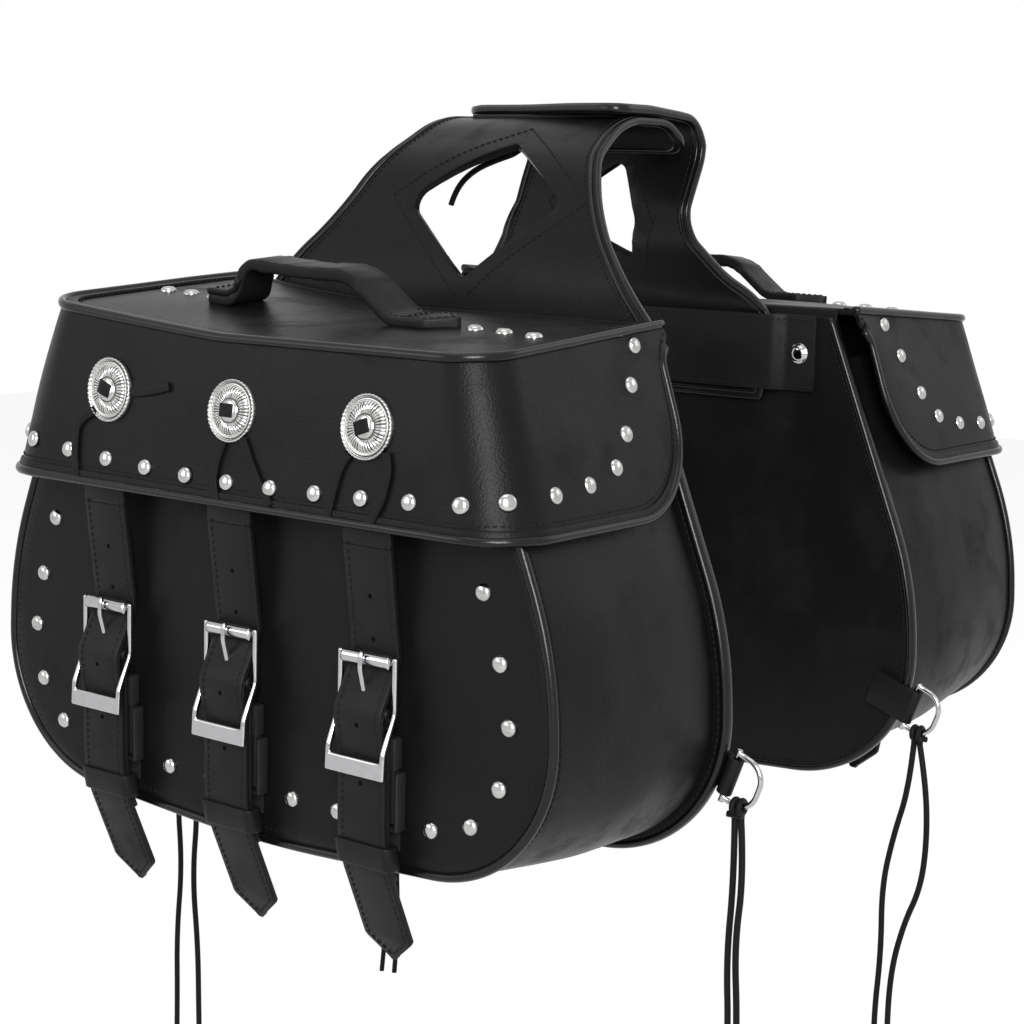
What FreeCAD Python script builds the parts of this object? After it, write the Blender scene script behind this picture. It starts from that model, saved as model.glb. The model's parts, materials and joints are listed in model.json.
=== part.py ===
import FreeCAD, Part
import math
import os
import re
import Sketcher

# A pair of throw-over saddlebags joined by a yoke that lies over a motorcycle's seat.
# Frame: origin at the underside centre of the yoke's crown, +X forward along the bags,
# +Y to the left bag, +Z up. The right bag is drawn, and the left one is its mirror image.

vec = FreeCAD.Vector
doc = FreeCAD.newDocument("saddlebags")

sizes = {
    # where the bags hang
    "crownRise": 104,  # crown underside above the lids' rear edge
    "bagGap": 199,  # between the two back panels
    # leather bag
    "bagDepth": 150,  # back panel's inner face to front panel's outer face
    "backThick": 6,
    "frontThick": 4,
    "sideThick": 3.2,
    "flange": 6,  # back panel's bound edge beyond the gusset
    "backDrop": 13,  # how much lower the outline lies at the back
    "shoulderHalf": 126,
    "shoulderRise": 20,
    "bellyHalf": 193,
    "bellyDrop": 146,
    "baseHalf": 199,
    "baseDrop": 262,
    "keelFall": 12,  # keel below the base's corners
    "bellyRadius": 200,
    "cornerRadius": 76,
    "keelRadius": 900,
    "mouthDrop": 18,
    "backMouthDrop": 6.5,
    "weltRadius": 2,
    "weltInset": 1,
    "bindingThick": 1.2,
    "boardThick": 2,
    "boardInset": 14,
    # lid
    "lidGap": 3.5,
    "lidDepth": 158,
    "lidHalfRear": 151,
    "lidHalfFront": 156,
    "lidSlope": 11,
    "lidTopRadius": 27,
    "lidHemDepth": 173,
    "lidHemHalf": 191,
    "lidHemRadius": 36,
    "lidHemDrop": 118,  # level at which the skirt's flare is set out
    "lidWall": 3.5,
    "lidTopThick": 6,
    "hemSideDrop": 92.7,
    "hemKeel": 111,
    "hemRise": 23,
    "hemKeelRadius": 900,
    "skirtRear": 12,
    "rearLap": 9,
    "rearSlope": 5,
    "skirtRadius": 50,
    "hemWelt": 6,
    "hemWeltProud": 2,
    "pipeRadius": 2.6,
    # dome studs
    "studRadius": 4.8,
    "studHeight": 3.4,
    "hemStudPitch": 30.5,
    "hemStudDrop": 82,
    "hemStudArch": 5,
    "topStudStart": 94,
    "topStudPitch": 18.7,
    "topStudDepth": 86,
    # conchos and their laces
    "conchoRadius": 16.5,
    "conchoHeight": 5,
    "conchoRim": 1.6,
    "slotSpan": 4.6,
    "conchoPitch": 92,
    "conchoDrop": 46,
    "laceWide": 4.4,
    "laceThick": 1.2,
    "laceTail": 30,
    "tailSpread": 16,
    # handle
    "handleWide": 28,
    "handleThick": 5,
    "handlePad": 84,
    "handleRise": 24,
    "handleReach": 18,
    "handleFoot": 18,
    "handleFootBend": 8,
    "handleStep": 8,
    "handleTopBend": 12,
    "handleArchBend": 30,
    "handleFall": 28,
    "handleFallBend": 18,
    # straps
    "strapWide": 31,
    "strapThick": 3.4,
    "strapPitch": 95,
    "strapShift": -3,
    "strapTop": 104,
    "rootTop": 84,
    "strapStand": 162.8,  # stands: from the back panel's inner face to the strap's centre
    "rollerFall": 56,  # falls: from each place on the strap down to the next
    "rollerStand": 155.5,
    "bulgeFall": 26,
    "bulgeStand": 169.2,
    "barFall": 27,
    "barStand": 165,
    "clipFall": 33,
    "clipStand": 165,
    "keeperFall": 18,
    "keeperStand": 162,
    "tipFall": 56,
    "tipStand": 138,
    "tipPoint": 14,
    "tipBend": 12,
    "bulgeBend": 14,
    "barBend": 30,
    "strapBend": 60,
    "rootSink": 1,
    "layerGap": 0.3,
    "chapeThick": 2.4,
    "chapeTail": 8,
    "chapeTuck": 3.4,
    "chapeBend": 50,
    "keeperTall": 14,
    "keeperThick": 2.2,
    "keeperLow": 2,
    "keeperTuckTop": 2.6,
    "keeperTuckFoot": 2.8,
    "keeperPlay": 1.2,
    "keeperBack": 1.6,
    # roller buckles
    "buckleWide": 38.5,
    "buckleWire": 3.2,
    "frameFoot": 13,
    "rollerRadius": 3.2,
    "axleRadius": 1.5,
    "sillTall": 9,
    "prongRadius": 1.4,
    "prongSlot": 6,
    "prongProud": 11.8,
    "prongTipProud": 11.3,
    "prongRest": 4,
    "prongTip": 3.5,
    "prongBend": 10,
    "prongHoleWide": 4,
    "prongHoleHead": 2,
    "prongHoleFoot": 8,
    "pinInset": 3,
    "axleProud": 6.4,
    "kneeProud": 6.6,
    "shinProud": 14.8,
    "footProud": 15.6,
    "frameHead": 3,
    "frameKnee": 1,
    "frameShin": 18,
    "frameKneeBend": 12,
    "frameShinBend": 10,
    # hidden clips behind the straps
    "clipWide": 34,
    "clipDepth": 7,
    "clipWall": 2,
    "clipPlay": 0.5,
    "clipStep": 2,
    "plugFall": 12,
    "plugTall": 16,
    "trayTall": 32,
    "webbingWide": 25,
    "webbingThick": 1.8,
    "webbingTail": 12,
    # rings and laces at the lower corners
    "ringTall": 27,
    "ringReach": 18,
    "ringBend": 11,
    "ringWire": 1.5,
    "ringBar": 1.6,
    "ringRise": 30,
    "tabWide": 21,
    "tabReach": 22,
    "tabThick": 2.4,
    "cordRadius": 1.8,
    # yoke
    "yokeThick": 4.5,
    "patchThick": 2.1,
    "patchHalf": 52,
    "crownHalf": 70,
    "neckDrop": 12,
    "neckBend": 20,
    "kneeHalf": 97,
    "kneeFall": 41,
    "kneeBend": 60,
    "hemHalf": 139,
    "hemFall": 45,
    "tuckHalf": 97,
    "tuckFall": 8,
    "footHalf": 92,
    "footFall": 54,
    "lowerEnd": 38,
    "lowerHipUp": 10,
    "lowerHipBend": 40,
    "lowerWaistIn": 35,
    "lowerWaistUp": 77,
    "lowerCrownIn": 71,
    "lowerBend": 50,
    "upperEnd": 16,
    "upperHipLow": 2,
    "upperHipBend": 20,
    "upperWaistIn": 39,
    "upperWaistUp": 39,
    "upperWaistBend": 25,
    "upperSwellIn": 31,
    "upperSwellUp": 82,
    "upperSwellBend": 40,
    "upperCrownIn": 41,
    "upperCrownBend": 12,
    "windowShift": 13,
    "windowHalf": 52,
    "windowTop": 20,
    "windowRise": 25,
    "windowFall": 39,
    "windowSideBend": 8,
    "windowFootBend": 10,
    "windowTopBend": 14,
    "loopDrop": 4,
    "loopTall": 46,
    "loopHalf": 128,
    "loopThick": 2.6,
    "loopSewn": 20,
    "loopStep": 8,
}

# Levels that follow from the sizes, each below the one it is measured from
levels = {
    "keelDrop": "baseDrop + keelFall",
    "ringDrop": "baseDrop - ringRise",
    "rollerDrop": "strapTop + rollerFall",
    "bulgeDrop": "rollerDrop + bulgeFall",
    "barDrop": "bulgeDrop + barFall",
    "clipDrop": "barDrop + clipFall",
    "keeperDrop": "clipDrop + keeperFall",
    "tipDrop": "keeperDrop + tipFall",
    "chapeEnd": "keeperDrop + chapeTail",
    "buckleFoot": "bulgeDrop + frameShin + frameFoot",
    "clipTop": "bulgeDrop + plugFall",
    "clipShoulder": "clipTop + plugTall",
    "clipFoot": "clipShoulder + trayTall",
    "webbingFoot": "clipFoot + webbingTail",
    "kneeDrop": "neckDrop + kneeFall",
    "hemDrop": "kneeDrop + hemFall",
    "tuckDrop": "hemDrop + tuckFall",
    "footDrop": "tuckDrop + footFall",
    "windowMid": "windowTop + windowRise",
    "windowFoot": "windowMid + windowFall",
}

sheet = doc.addObject("Spreadsheet::Sheet", "Sizes")
for row, (name, number) in enumerate(sizes.items(), start=1):
    sheet.set(f"A{row}", name)
    sheet.set(f"B{row}", str(number))
    sheet.setAlias(f"B{row}", name)
doc.recompute()


# Helpers: every size below is a formula of the sheet's names

def formula(text):
    text = str(text)
    for name in reversed(levels):
        text = re.sub(rf"\b{name}\b", f"({levels[name]})", text)
    return re.sub(r"[A-Za-z]\w*", lambda m: f"Sizes.{m[0]}" if m[0] in sizes else m[0], text)


def value(text):
    found = sheet.evalExpression(formula(text))
    return float(getattr(found, "Value", found))


def bind(item, **properties):
    for path, text in properties.items():
        item.setExpression(path.replace("_", "."), formula(text))
    return item


def place(item, x="0", y="0", z="0"):
    return bind(item, Placement_Base_x=x, Placement_Base_y=y, Placement_Base_z=z)


planes = {
    "front": FreeCAD.Rotation(vec(1, 0, 0), vec(0, 0, 1), vec(0, -1, 0), "XYZ"),
    "side": FreeCAD.Rotation(vec(0, 1, 0), vec(0, 0, 1), vec(1, 0, 0), "XYZ"),
    "top": FreeCAD.Rotation(),
}


def trace(name, plane, corners, at=("0", "0", "0"), closed=True):
    """A sketch through corners (x, y) or (x, y, radius), its straight runs joined by tangent arcs."""
    sketch = doc.addObject("Sketcher::SketchObject", name)
    sketch.Placement = FreeCAD.Placement(vec(), planes[plane])
    place(sketch, *at)
    points = [vec(value(c[0]), value(c[1]), 0) for c in corners]
    count = len(points)
    arcs = {}
    leave = list(points)
    reach = list(points)
    for i, corner in enumerate(corners):
        if len(corner) < 3:
            continue
        back = (points[i - 1] - points[i]).normalize()
        ahead = (points[(i + 1) % count] - points[i]).normalize()
        radius = value(corner[2])
        half = back.getAngle(ahead) / 2
        reach[i] = points[i] + back * (radius / math.tan(half))
        leave[i] = points[i] + ahead * (radius / math.tan(half))
        middle = points[i] + (back + ahead).normalize() * (radius / math.sin(half))
        left_turn = back.cross(ahead).z < 0
        first, last = (reach[i], leave[i]) if left_turn else (leave[i], reach[i])
        start, end = (math.atan2(p.y - middle.y, p.x - middle.x) for p in (first, last))
        arc = Part.ArcOfCircle(Part.Circle(middle, vec(0, 0, 1), radius), start, end)
        arcs[i] = (sketch.addGeometry(arc, False), 1 if left_turn else 2, radius, corner[2])
    runs = count if closed else count - 1
    lines = [sketch.addGeometry(Part.LineSegment(leave[i], reach[(i + 1) % count]), False)
             for i in range(runs)]

    def fix(kind, *terms, text=None):
        index = sketch.addConstraint(Sketcher.Constraint(kind, *terms))
        if text is not None:
            sketch.renameConstraint(index, f"c{index}")
            sketch.setExpression(f"Constraints.c{index}", formula(text))

    for i, corner in enumerate(corners):
        before = lines[i - 1] if closed or i > 0 else None
        after = lines[i] if i < runs else None
        if i in arcs:
            arc, near, radius, text = arcs[i]
            spot = sketch.addGeometry(Part.Point(points[i]), True)
            anchor = (spot, 1)
            fix("Tangent", before, 2, arc, near)
            fix("Tangent", arc, 3 - near, after, 1)
            fix("Radius", arc, radius, text=text)
            fix("PointOnObject", spot, 1, before)
            fix("PointOnObject", spot, 1, after)
        else:
            anchor = (after, 1) if after is not None else (before, 2)
            if before is not None and after is not None:
                fix("Coincident", before, 2, after, 1)
        fix("DistanceX", -1, 1, *anchor, points[i].x, text=corner[0])
        fix("DistanceY", -1, 1, *anchor, points[i].y, text=corner[1])
    return sketch


def extrude(name, base, x="0", y="0", z="0"):
    solid = doc.addObject("Part::Extrusion", name)
    solid.Base = base
    solid.DirMode = "Custom"
    solid.Solid = True
    base.Visibility = False
    return bind(solid, Dir_x=x, Dir_y=y, Dir_z=z)


def slab(name, plane, corners, near, far):
    """A sketch pushed from one level of its plane's normal to another."""
    axis = {"front": "y", "side": "x", "top": "z"}[plane]
    at = [near if letter == axis else "0" for letter in "xyz"]
    base = trace(name + "Sketch", plane, corners, at)
    return extrude(name, base, **{axis: f"({far}) - ({near})"})


def offset(name, source, amount):
    ring = doc.addObject("Part::Offset2D", name)
    ring.Source = source
    ring.Join = 0
    return bind(ring, Value=amount)


def cut(name, base, tool):
    result = doc.addObject("Part::Cut", name)
    result.Base = base
    result.Tool = tool
    return result


def common(name, *shapes):
    result = doc.addObject("Part::MultiCommon", name)
    result.Shapes = list(shapes)
    return result


def fuse(name, *shapes):
    result = doc.addObject("Part::MultiFuse", name)
    result.Shapes = list(shapes)
    return result


def group(name, *members):
    result = doc.addObject("Part::Compound", name)
    result.Links = list(members)
    return result


def box(name, low, high):
    """A box between two corners, each a triple of formulas."""
    solid = doc.addObject("Part::Box", name)
    spans = [f"({b}) - ({a})" for a, b in zip(low, high)]
    bind(solid, Length=spans[0], Width=spans[1], Height=spans[2])
    return place(solid, *low)


def rod(name, radius, low, high, at):
    """A round bar along X between two levels."""
    solid = doc.addObject("Part::Cylinder", name)
    solid.Placement = FreeCAD.Placement(vec(), FreeCAD.Rotation(vec(0, 1, 0), 90))
    bind(solid, Radius=radius, Height=f"({high}) - ({low})")
    return place(solid, low, *at)


def sweep(name, profile, path):
    solid = doc.addObject("Part::Sweep", name)
    solid.Sections = [profile]
    solid.Spine = (path, [f"Edge{i + 1}" for i in range(len(path.Shape.Edges))])
    solid.Solid = True
    solid.Frenet = False
    return solid


def ribbon(name, plane, corners, wide, thick):
    """A flat strip along a path in a plane: it starts along Z in "side", and along X in the others."""
    path = trace(name + "Path", plane, corners, closed=False)
    first, second = corners[0][:2]
    across, through = f"({wide}) / 2", f"({thick}) / 2"
    across_span = (f"-({across})", across)
    if plane == "side":
        spans = across_span, (f"({first}) - {through}", f"({first}) + {through}")
        section, at = "top", ("0", "0", second)
    elif plane == "front":
        spans = across_span, (f"({second}) - {through}", f"({second}) + {through}")
        section, at = "side", (first, "0", "0")
    else:
        spans = (f"({second}) - {through}", f"({second}) + {through}"), across_span
        section, at = "side", (first, "0", "0")
    (left, right), (low, high) = spans
    profile = trace(name + "End", section, [(left, low), (right, low), (right, high), (left, high)], at)
    doc.recompute()
    return sweep(name, profile, path)


def circle(name, plane, radius, at):
    sketch = doc.addObject("Sketcher::SketchObject", name)
    sketch.Placement = FreeCAD.Placement(vec(), planes[plane])
    place(sketch, *at)
    sketch.addGeometry(Part.Circle(vec(), vec(0, 0, 1), value(radius)), False)
    sketch.addConstraint(Sketcher.Constraint("Coincident", 0, 3, -1, 1))
    index = sketch.addConstraint(Sketcher.Constraint("Radius", 0, value(radius)))
    sketch.renameConstraint(index, "radius")
    sketch.setExpression("Constraints.radius", formula(radius))
    return sketch


def turned(name, sketch):
    """A profile in its own plane turned a full circle about the sketch's vertical axis."""
    solid = doc.addObject("Part::Revolution", name)
    solid.Source = sketch
    solid.Axis = vec(0, 0, 1)
    solid.Angle = 360
    solid.Solid = True
    return solid


def seated(name, item, point, normal, spin=0):
    """A copy whose own Z axis points along a surface's normal, its X axis kept as level as it can be."""
    level = vec(0, 0, 1).cross(normal)
    if level.Length < 0.01:
        level = vec(1, 0, 0)
    seat = FreeCAD.Rotation(level, vec(), normal, "ZXY")
    twist = FreeCAD.Rotation(vec(0, 0, 1), spin)
    copy = group(name, item)
    copy.Placement = FreeCAD.Placement(point, seat.multiply(twist))
    return copy


nodes = {}


def keep(label, item):
    nodes[label] = item
    return item


def keep_both(label, item):
    """The right bag's piece, and the left bag's as its mirror image."""
    keep("right_" + label, item)
    twin = doc.addObject("Part::Mirroring", "left_" + label)
    twin.Source = item
    twin.Normal = vec(0, 1, 0)
    return keep("left_" + label, twin)


def shifted(name, item, x):
    return place(group(name, item), x=x)


# Levels that several pieces share
inner = "-(bagGap / 2)"
gusset_back = "-(bagGap / 2 + backThick)"
gusset_front = "-(bagGap / 2 + bagDepth - frontThick)"
front_face = "-(bagGap / 2 + bagDepth)"
wide_out = "(lidHemHalf + 40)"
far_out = "-(bagGap / 2 + lidHemDepth + 60)"


# Bag: outline, gusset, panels

def outline_corners(lower="0"):
    half = [("shoulderHalf", "shoulderRise"), ("bellyHalf", "-bellyDrop", "bellyRadius"),
            ("baseHalf", "-baseDrop", "cornerRadius")]
    right = [(x, f"{z} - crownRise - ({lower})", *r) for x, z, *r in half]
    left = [("-" + x, z, *r) for x, z, *r in right]
    return left + [("0", f"-keelDrop - crownRise - ({lower})", "keelRadius")] + right[::-1]


mouth_cut = box("MouthCut", ("-" + wide_out, far_out, "-(crownRise + mouthDrop)"), (wide_out, "0", "60"))
outline = trace("Outline", "front", outline_corners(), ("0", gusset_front, "0"))
inner_outline = offset("InnerOutline", outline, "-sideThick")
shear = {"y": "bagDepth - frontThick - backThick",
         "z": "-backDrop * (bagDepth - frontThick - backThick) / bagDepth"}
gusset_band = cut("GussetBand", extrude("GussetOuter", outline, **shear),
                  extrude("GussetInner", inner_outline, **shear))
gusset = cut("Gusset", gusset_band, mouth_cut)

front_outline = trace("FrontOutline", "front", outline_corners(), ("0", front_face, "0"))
front_panel = cut("FrontPanel", extrude("FrontSheet", front_outline, y="frontThick"), mouth_cut)

back_outline = trace("BackOutline", "front", outline_corners("backDrop"), ("0", gusset_back, "0"))
back_sheet = extrude("BackSheet", offset("FlangeOutline", back_outline, "flange"), y="backThick")
back_mouth = "-(crownRise + backMouthDrop)"
back_cut = box("BackMouthCut", ("-" + wide_out, gusset_back + " - 2 * bindingThick", back_mouth),
               (wide_out, "0", "60"))
back_panel = cut("BackPanel", back_sheet, back_cut)

front_board = extrude("FrontBoardSheet", offset("FrontBoardOutline", outline, "-boardInset"), y="boardThick")
back_inner = trace("BackBoardOutline", "front", outline_corners("backDrop"),
                   ("0", gusset_back + " - boardThick", "0"))
back_board = extrude("BackBoardSheet", offset("BackBoardRim", back_inner, "-boardInset"), y="boardThick")
boards = group("Boards", cut("FrontBoard", front_board, mouth_cut), cut("BackBoard", back_board, mouth_cut))


# Bead round a rim: what a source outline gains when it grows outward

def bead(name, source, proud, thick):
    outer = extrude(name + "Outer", offset(name + "Rim", source, proud), y=thick)
    return cut(name, outer, extrude(name + "Hole", source, y=thick))


welt_outline = trace("WeltOutline", "front", outline_corners(), ("0", front_face + " + weltInset", "0"))
front_welt = cut("FrontWelt", bead("Welt", welt_outline, "weltRadius", "frontThick - weltInset"), mouth_cut)
binding_outline = trace("BindingOutline", "front", outline_corners("backDrop"),
                        ("0", gusset_back + " - bindingThick", "0"))
binding = bead("Binding", offset("BindingSeat", binding_outline, "flange"), "bindingThick",
               "backThick + 2 * bindingThick")
binding_rim = cut("BackBinding", binding, back_cut)
seam_piping = group("SeamPiping", front_welt, binding_rim)


# Lid: a flared skirt on three sides under a sloping top

rear_edge = "-(bagGap / 2 + lidGap)"


def lid_section(name, top, grow="0", lower="0", rear="0"):
    """The lid's plan at its top or at the level that sets its flare, grown outward by an amount."""
    rear_half, front_half, depth, radius = (
        ("lidHalfRear", "lidHalfFront", "lidDepth", "lidTopRadius") if top
        else ("lidHemHalf", "lidHemHalf", "lidHemDepth", "lidHemRadius"))
    reach = f"-({depth} - lidGap + ({grow}))"
    corners = [(f"-({rear_half} + ({grow}))", rear), (f"{rear_half} + ({grow})", rear),
               (f"{front_half} + ({grow})", reach, f"{radius} + ({grow})"),
               (f"-({front_half} + ({grow}))", reach, f"{radius} + ({grow})")]
    level = f"-crownRise - ({lower})" if top else "-crownRise - lidHemDrop"
    plan = trace(name, "top", corners, ("0", rear_edge, level))
    if top:
        plan.Placement.Rotation = FreeCAD.Rotation(vec(1, 0, 0), 4)
        bind(plan, Placement_Rotation_Angle="atan(lidSlope / lidDepth)")
    return plan


def lid_form(name, grow="0", lower="0", rear="0"):
    form = doc.addObject("Part::Loft", name)
    form.Sections = [lid_section(name + "Hem", False, grow, "0", rear),
                     lid_section(name + "Top", True, grow, lower, rear)]
    form.Solid = True
    form.Ruled = True
    return form


def hem_prisms(name, inset="0"):
    """What lies above the hem, seen from the side and from the front."""
    top, deep = "20 - crownRise", "-crownRise - lidHemDrop - 10"
    skirt = f"-(bagGap / 2 + skirtRear + ({inset}))"
    side_hem = f"-crownRise - hemSideDrop + ({inset})"
    corners = [(rear_edge, top), (rear_edge, "-crownRise - rearLap"),
               (skirt, "-crownRise - rearLap - rearSlope"), (skirt, side_hem, f"skirtRadius - ({inset})"),
               (f"{skirt} - skirtRadius - 30", side_hem), (f"{skirt} - skirtRadius - 30", deep),
               (far_out, deep), (far_out, top)]
    side = slab(name + "Side", "side", corners, "-" + wide_out, wide_out)
    keel = f"-crownRise - hemKeel + ({inset})"
    corners = [("-" + wide_out, top), (wide_out, top), (wide_out, f"{keel} + hemRise"),
               ("0", keel, "hemKeelRadius"), ("-" + wide_out, f"{keel} + hemRise")]
    front = slab(name + "Front", "front", corners, far_out, "0")
    return side, front


lid_outer = lid_form("LidOuter")
lid_inner = lid_form("LidInner", "-lidWall", "lidTopThick", "lidWall + 6")
hem_side, hem_front = hem_prisms("Hem")
lid_shell = common("LidShell", cut("LidHollow", lid_outer, lid_inner), hem_side, hem_front)

raised_side, raised_front = hem_prisms("Raised", "hemWelt")
raised = common("RaisedHem", lid_form("LidSwell", "2 * hemWeltProud", "0"), raised_side, raised_front)
hem_swell = common("HemSwell", lid_form("LidProud", "hemWeltProud"), hem_side, hem_front)
hem_welt = cut("HemWelt", cut("HemBand", hem_swell, lid_outer), raised)

pipe_path = lid_section("PipeSection", True, "pipeRadius")
top_band = extrude("TopPipeBand", pipe_path, z="1.6 * pipeRadius")
top_hole = lid_section("PipeHole", True, "0")
top_pipe = cut("TopPipeRing", top_band, extrude("TopPipeHole", top_hole, z="1.6 * pipeRadius"))
top_pipe = cut("TopPipe", top_pipe, box("PipeRear", ("-" + wide_out, rear_edge, "-crownRise - 20"),
                                        (wide_out, "0", "0")))
lid_piping = group("LidPiping", hem_welt, top_pipe)


# Dome studs: hem, side and top of the lid, and round the front panel

dome_bend = "((studRadius ^ 2 + studHeight ^ 2) / (2 * studHeight))"
dome = doc.addObject("Part::Sphere", "StudDome")
bind(dome, Radius=dome_bend, Angle1=f"asin(({dome_bend} - studHeight) / {dome_bend})")
place(dome, z=f"studHeight - {dome_bend}")
stud = group("Stud", dome)
doc.recompute()


def on_surface(shape, start, way):
    """Where a straight line from a start outside first meets a shape, and the outward normal there."""
    inside = Part.makeLine(start, start + way).common(shape)
    point = min((vertex.Point for vertex in inside.Vertexes), key=start.distanceToPoint)
    for face in shape.Faces:
        if face.distToShape(Part.Vertex(point))[0] < 0.001:
            return point, face.normalAt(*face.Surface.parameter(point))
    raise ValueError("no face carries the point")


def lid_point(x, depth, drop, way):
    reach = 2 * value("lidHemHalf")
    target = vec(x, -value("bagGap") / 2 - depth, -value("crownRise") - drop)
    return on_surface(lid_outer.Shape, target - way * reach, way * 2 * reach)


inward = vec(0, 1, 0)
hem_count = 5
hem_points = []
for i in range(-hem_count, hem_count + 1):
    drop = value("hemStudDrop") - value("hemStudArch") * (i / hem_count) ** 2
    hem_points.append(lid_point(i * value("hemStudPitch"), value("lidHemDepth"), drop, inward))
side_studs = ((33, 9), (44, 28), (58, 51), (73, 66), (98, 72), (126, 74), (154, 75))
for depth, drop in side_studs:
    hem_points += [lid_point(0, depth, drop, vec(-side, 0, 0)) for side in (-1, 1)]
for i in range(3):
    x = value("topStudStart") + i * value("topStudPitch")
    hem_points += [lid_point(side * x, value("topStudDepth"), 0, vec(0, 0, -1)) for side in (-1, 1)]
lid_studs = group("LidStuds", *[seated(f"LidStud{i}", stud, *spot) for i, spot in enumerate(hem_points)])

panel_studs = ((45, 142), (34, 109), (28, 79), (33, 48), (50, 26), (75, 19), (137, 16), (169, 16))
panel_spots = [(side * (value("baseHalf") - inset), value("baseDrop") - rise)
               for inset, rise in panel_studs for side in (-1, 1)]
front_studs = group("FrontStuds", *[
    seated(f"FrontStud{i}", stud, vec(x, value(front_face), -value("crownRise") - drop), vec(0, -1, 0))
    for i, (x, drop) in enumerate(panel_spots)])


# Conchos: domed discs with two slots, each tied down by a flat lace

concho_profile = trace("ConchoProfile", "front", [
    ("0", "0"), ("conchoRadius", "0"), ("conchoRadius", "conchoRim"),
    ("0.91 * conchoRadius", "1.5 * conchoRim"), ("0.75 * conchoRadius", "1.5 * conchoRim"),
    ("0.55 * conchoRadius", "0.8 * conchoHeight"),
    ("0", "conchoHeight")])
slot_wide = "(laceThick + 0.6)"
slots = [box(f"ConchoSlot{side}", (f"{side} * slotSpan - {slot_wide} / 2", "-(laceWide / 2 + 0.4)", "-1"),
             (f"{side} * slotSpan + {slot_wide} / 2", "laceWide / 2 + 0.4", "conchoHeight + 1"))
         for side in (-1, 1)]
concho = cut("Concho", turned("ConchoDisc", concho_profile), group("ConchoSlots", *slots))
bridge_outer = box("LaceBridge", ("-(slotSpan + laceThick / 2)", "-laceWide / 2", "0"),
                   ("slotSpan + laceThick / 2", "laceWide / 2", "conchoHeight + laceThick + 0.1"))
bridge_hole = box("LaceBridgeHole", ("-(slotSpan - laceThick / 2)", "-laceWide", "-1"),
                  ("slotSpan - laceThick / 2", "laceWide", "conchoHeight + 0.1"))
bridge = cut("LaceLoop", bridge_outer, bridge_hole)
seated_conchos = []
seated_laces = []
for i, spin in zip((-1, 0, 1), (-15, 0, 20)):
    point, normal = lid_point(i * value("conchoPitch"), value("lidHemDepth"), value("conchoDrop"), inward)
    seated_conchos.append(seated(f"Concho{i}", concho, point, normal, spin))
    seated_laces.append(seated(f"LaceLoop{i}", bridge, point, normal, spin))
    for side in (-1, 1):
        tail = box(f"LaceTail{i}{side}", ("-laceWide / 2", "-(conchoRadius + laceTail)", "0"),
                   ("laceWide / 2", "-conchoRadius - 0.05", "laceThick"))
        lean = side * value("tailSpread")
        seated_laces.append(seated(f"HungTail{i}{side}", group(f"Tail{i}{side}", tail), point, normal, lean))
conchos = group("Conchos", *seated_conchos)
concho_laces = group("ConchoLaces", *seated_laces)


# Handle: a leather strip that arches over the lid between two stitched ends

half_strip = "handleThick / 2"
handle_strip = ribbon("HandleStrip", "front", [
    ("-handlePad", half_strip), ("-handlePad + handleFoot", half_strip, "handleFootBend"),
    ("-handlePad + handleFoot + handleStep", "handleRise", "handleTopBend"),
    ("handleReach", "handleRise", "handleArchBend"),
    ("handleReach + handleFall", half_strip, "handleFallBend"), ("handlePad", half_strip)],
    "handleWide", "handleThick")
point_prism = slab("HandlePoint", "top", [
    ("-2 * handlePad", "-handleWide"), ("handlePad - handleWide / 2", "-handleWide"),
    ("handlePad - handleWide / 2", "-handleWide / 2"), ("handlePad", "0"),
    ("handlePad - handleWide / 2", "handleWide / 2"), ("handlePad - handleWide / 2", "handleWide"),
    ("-2 * handlePad", "handleWide")], "-handleThick", "handleRise + 2 * handleThick")
handle = group("Handle", common("HandleCut", handle_strip, point_prism))
handle.Placement.Rotation = FreeCAD.Rotation(vec(1, 0, 0), 4)
bind(handle, Placement_Rotation_Angle="atan(lidSlope / lidDepth)")
place(handle, y="-(bagGap / 2 + topStudDepth)",
      z="-crownRise - (topStudDepth - lidGap) * lidSlope / lidDepth")


# Straps: each hangs from inside the lid, runs through its buckle and a keeper, and curls in at its tip

def spot(stand, drop):
    """A place in the side view: how far out from the back panel, and how far below the lid's rear edge."""
    return f"-(bagGap / 2 + {stand})", f"-crownRise - ({drop})"


strap_path = [
    spot("strapStand", "strapTop"), (*spot("rollerStand", "rollerDrop"), "bulgeBend"),
    (*spot("bulgeStand", "bulgeDrop"), "bulgeBend"), (*spot("barStand", "barDrop"), "barBend"),
    (*spot("clipStand", "clipDrop"), "strapBend"), (*spot("keeperStand", "keeperDrop"), "strapBend"),
    spot("tipStand", "tipDrop")]
strap_strip = ribbon("StrapStrip", "side", strap_path, "strapWide", "strapThick")
half_strap = "strapWide / 2"
tip_level = "-crownRise - tipDrop - strapThick"
tip_prism = slab("StrapTip", "front", [
    ("-" + half_strap, "-crownRise"), (half_strap, "-crownRise"), (half_strap, f"{tip_level} + tipPoint"),
    ("0", tip_level, "tipBend"), ("-" + half_strap, f"{tip_level} + tipPoint")], far_out, "0")
prong_hole = box("ProngHole",
                 ("-prongHoleWide / 2", "-(bagGap / 2 + bulgeStand + 2 * strapThick)",
                  "-crownRise - bulgeDrop + prongHoleHead"),
                 ("prongHoleWide / 2", "-(bagGap / 2 + rollerStand - 2 * strapThick)",
                  "-crownRise - rollerDrop - prongHoleFoot"))
strap = cut("Strap", common("StrapShaped", strap_strip, tip_prism), prong_hole)

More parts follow.
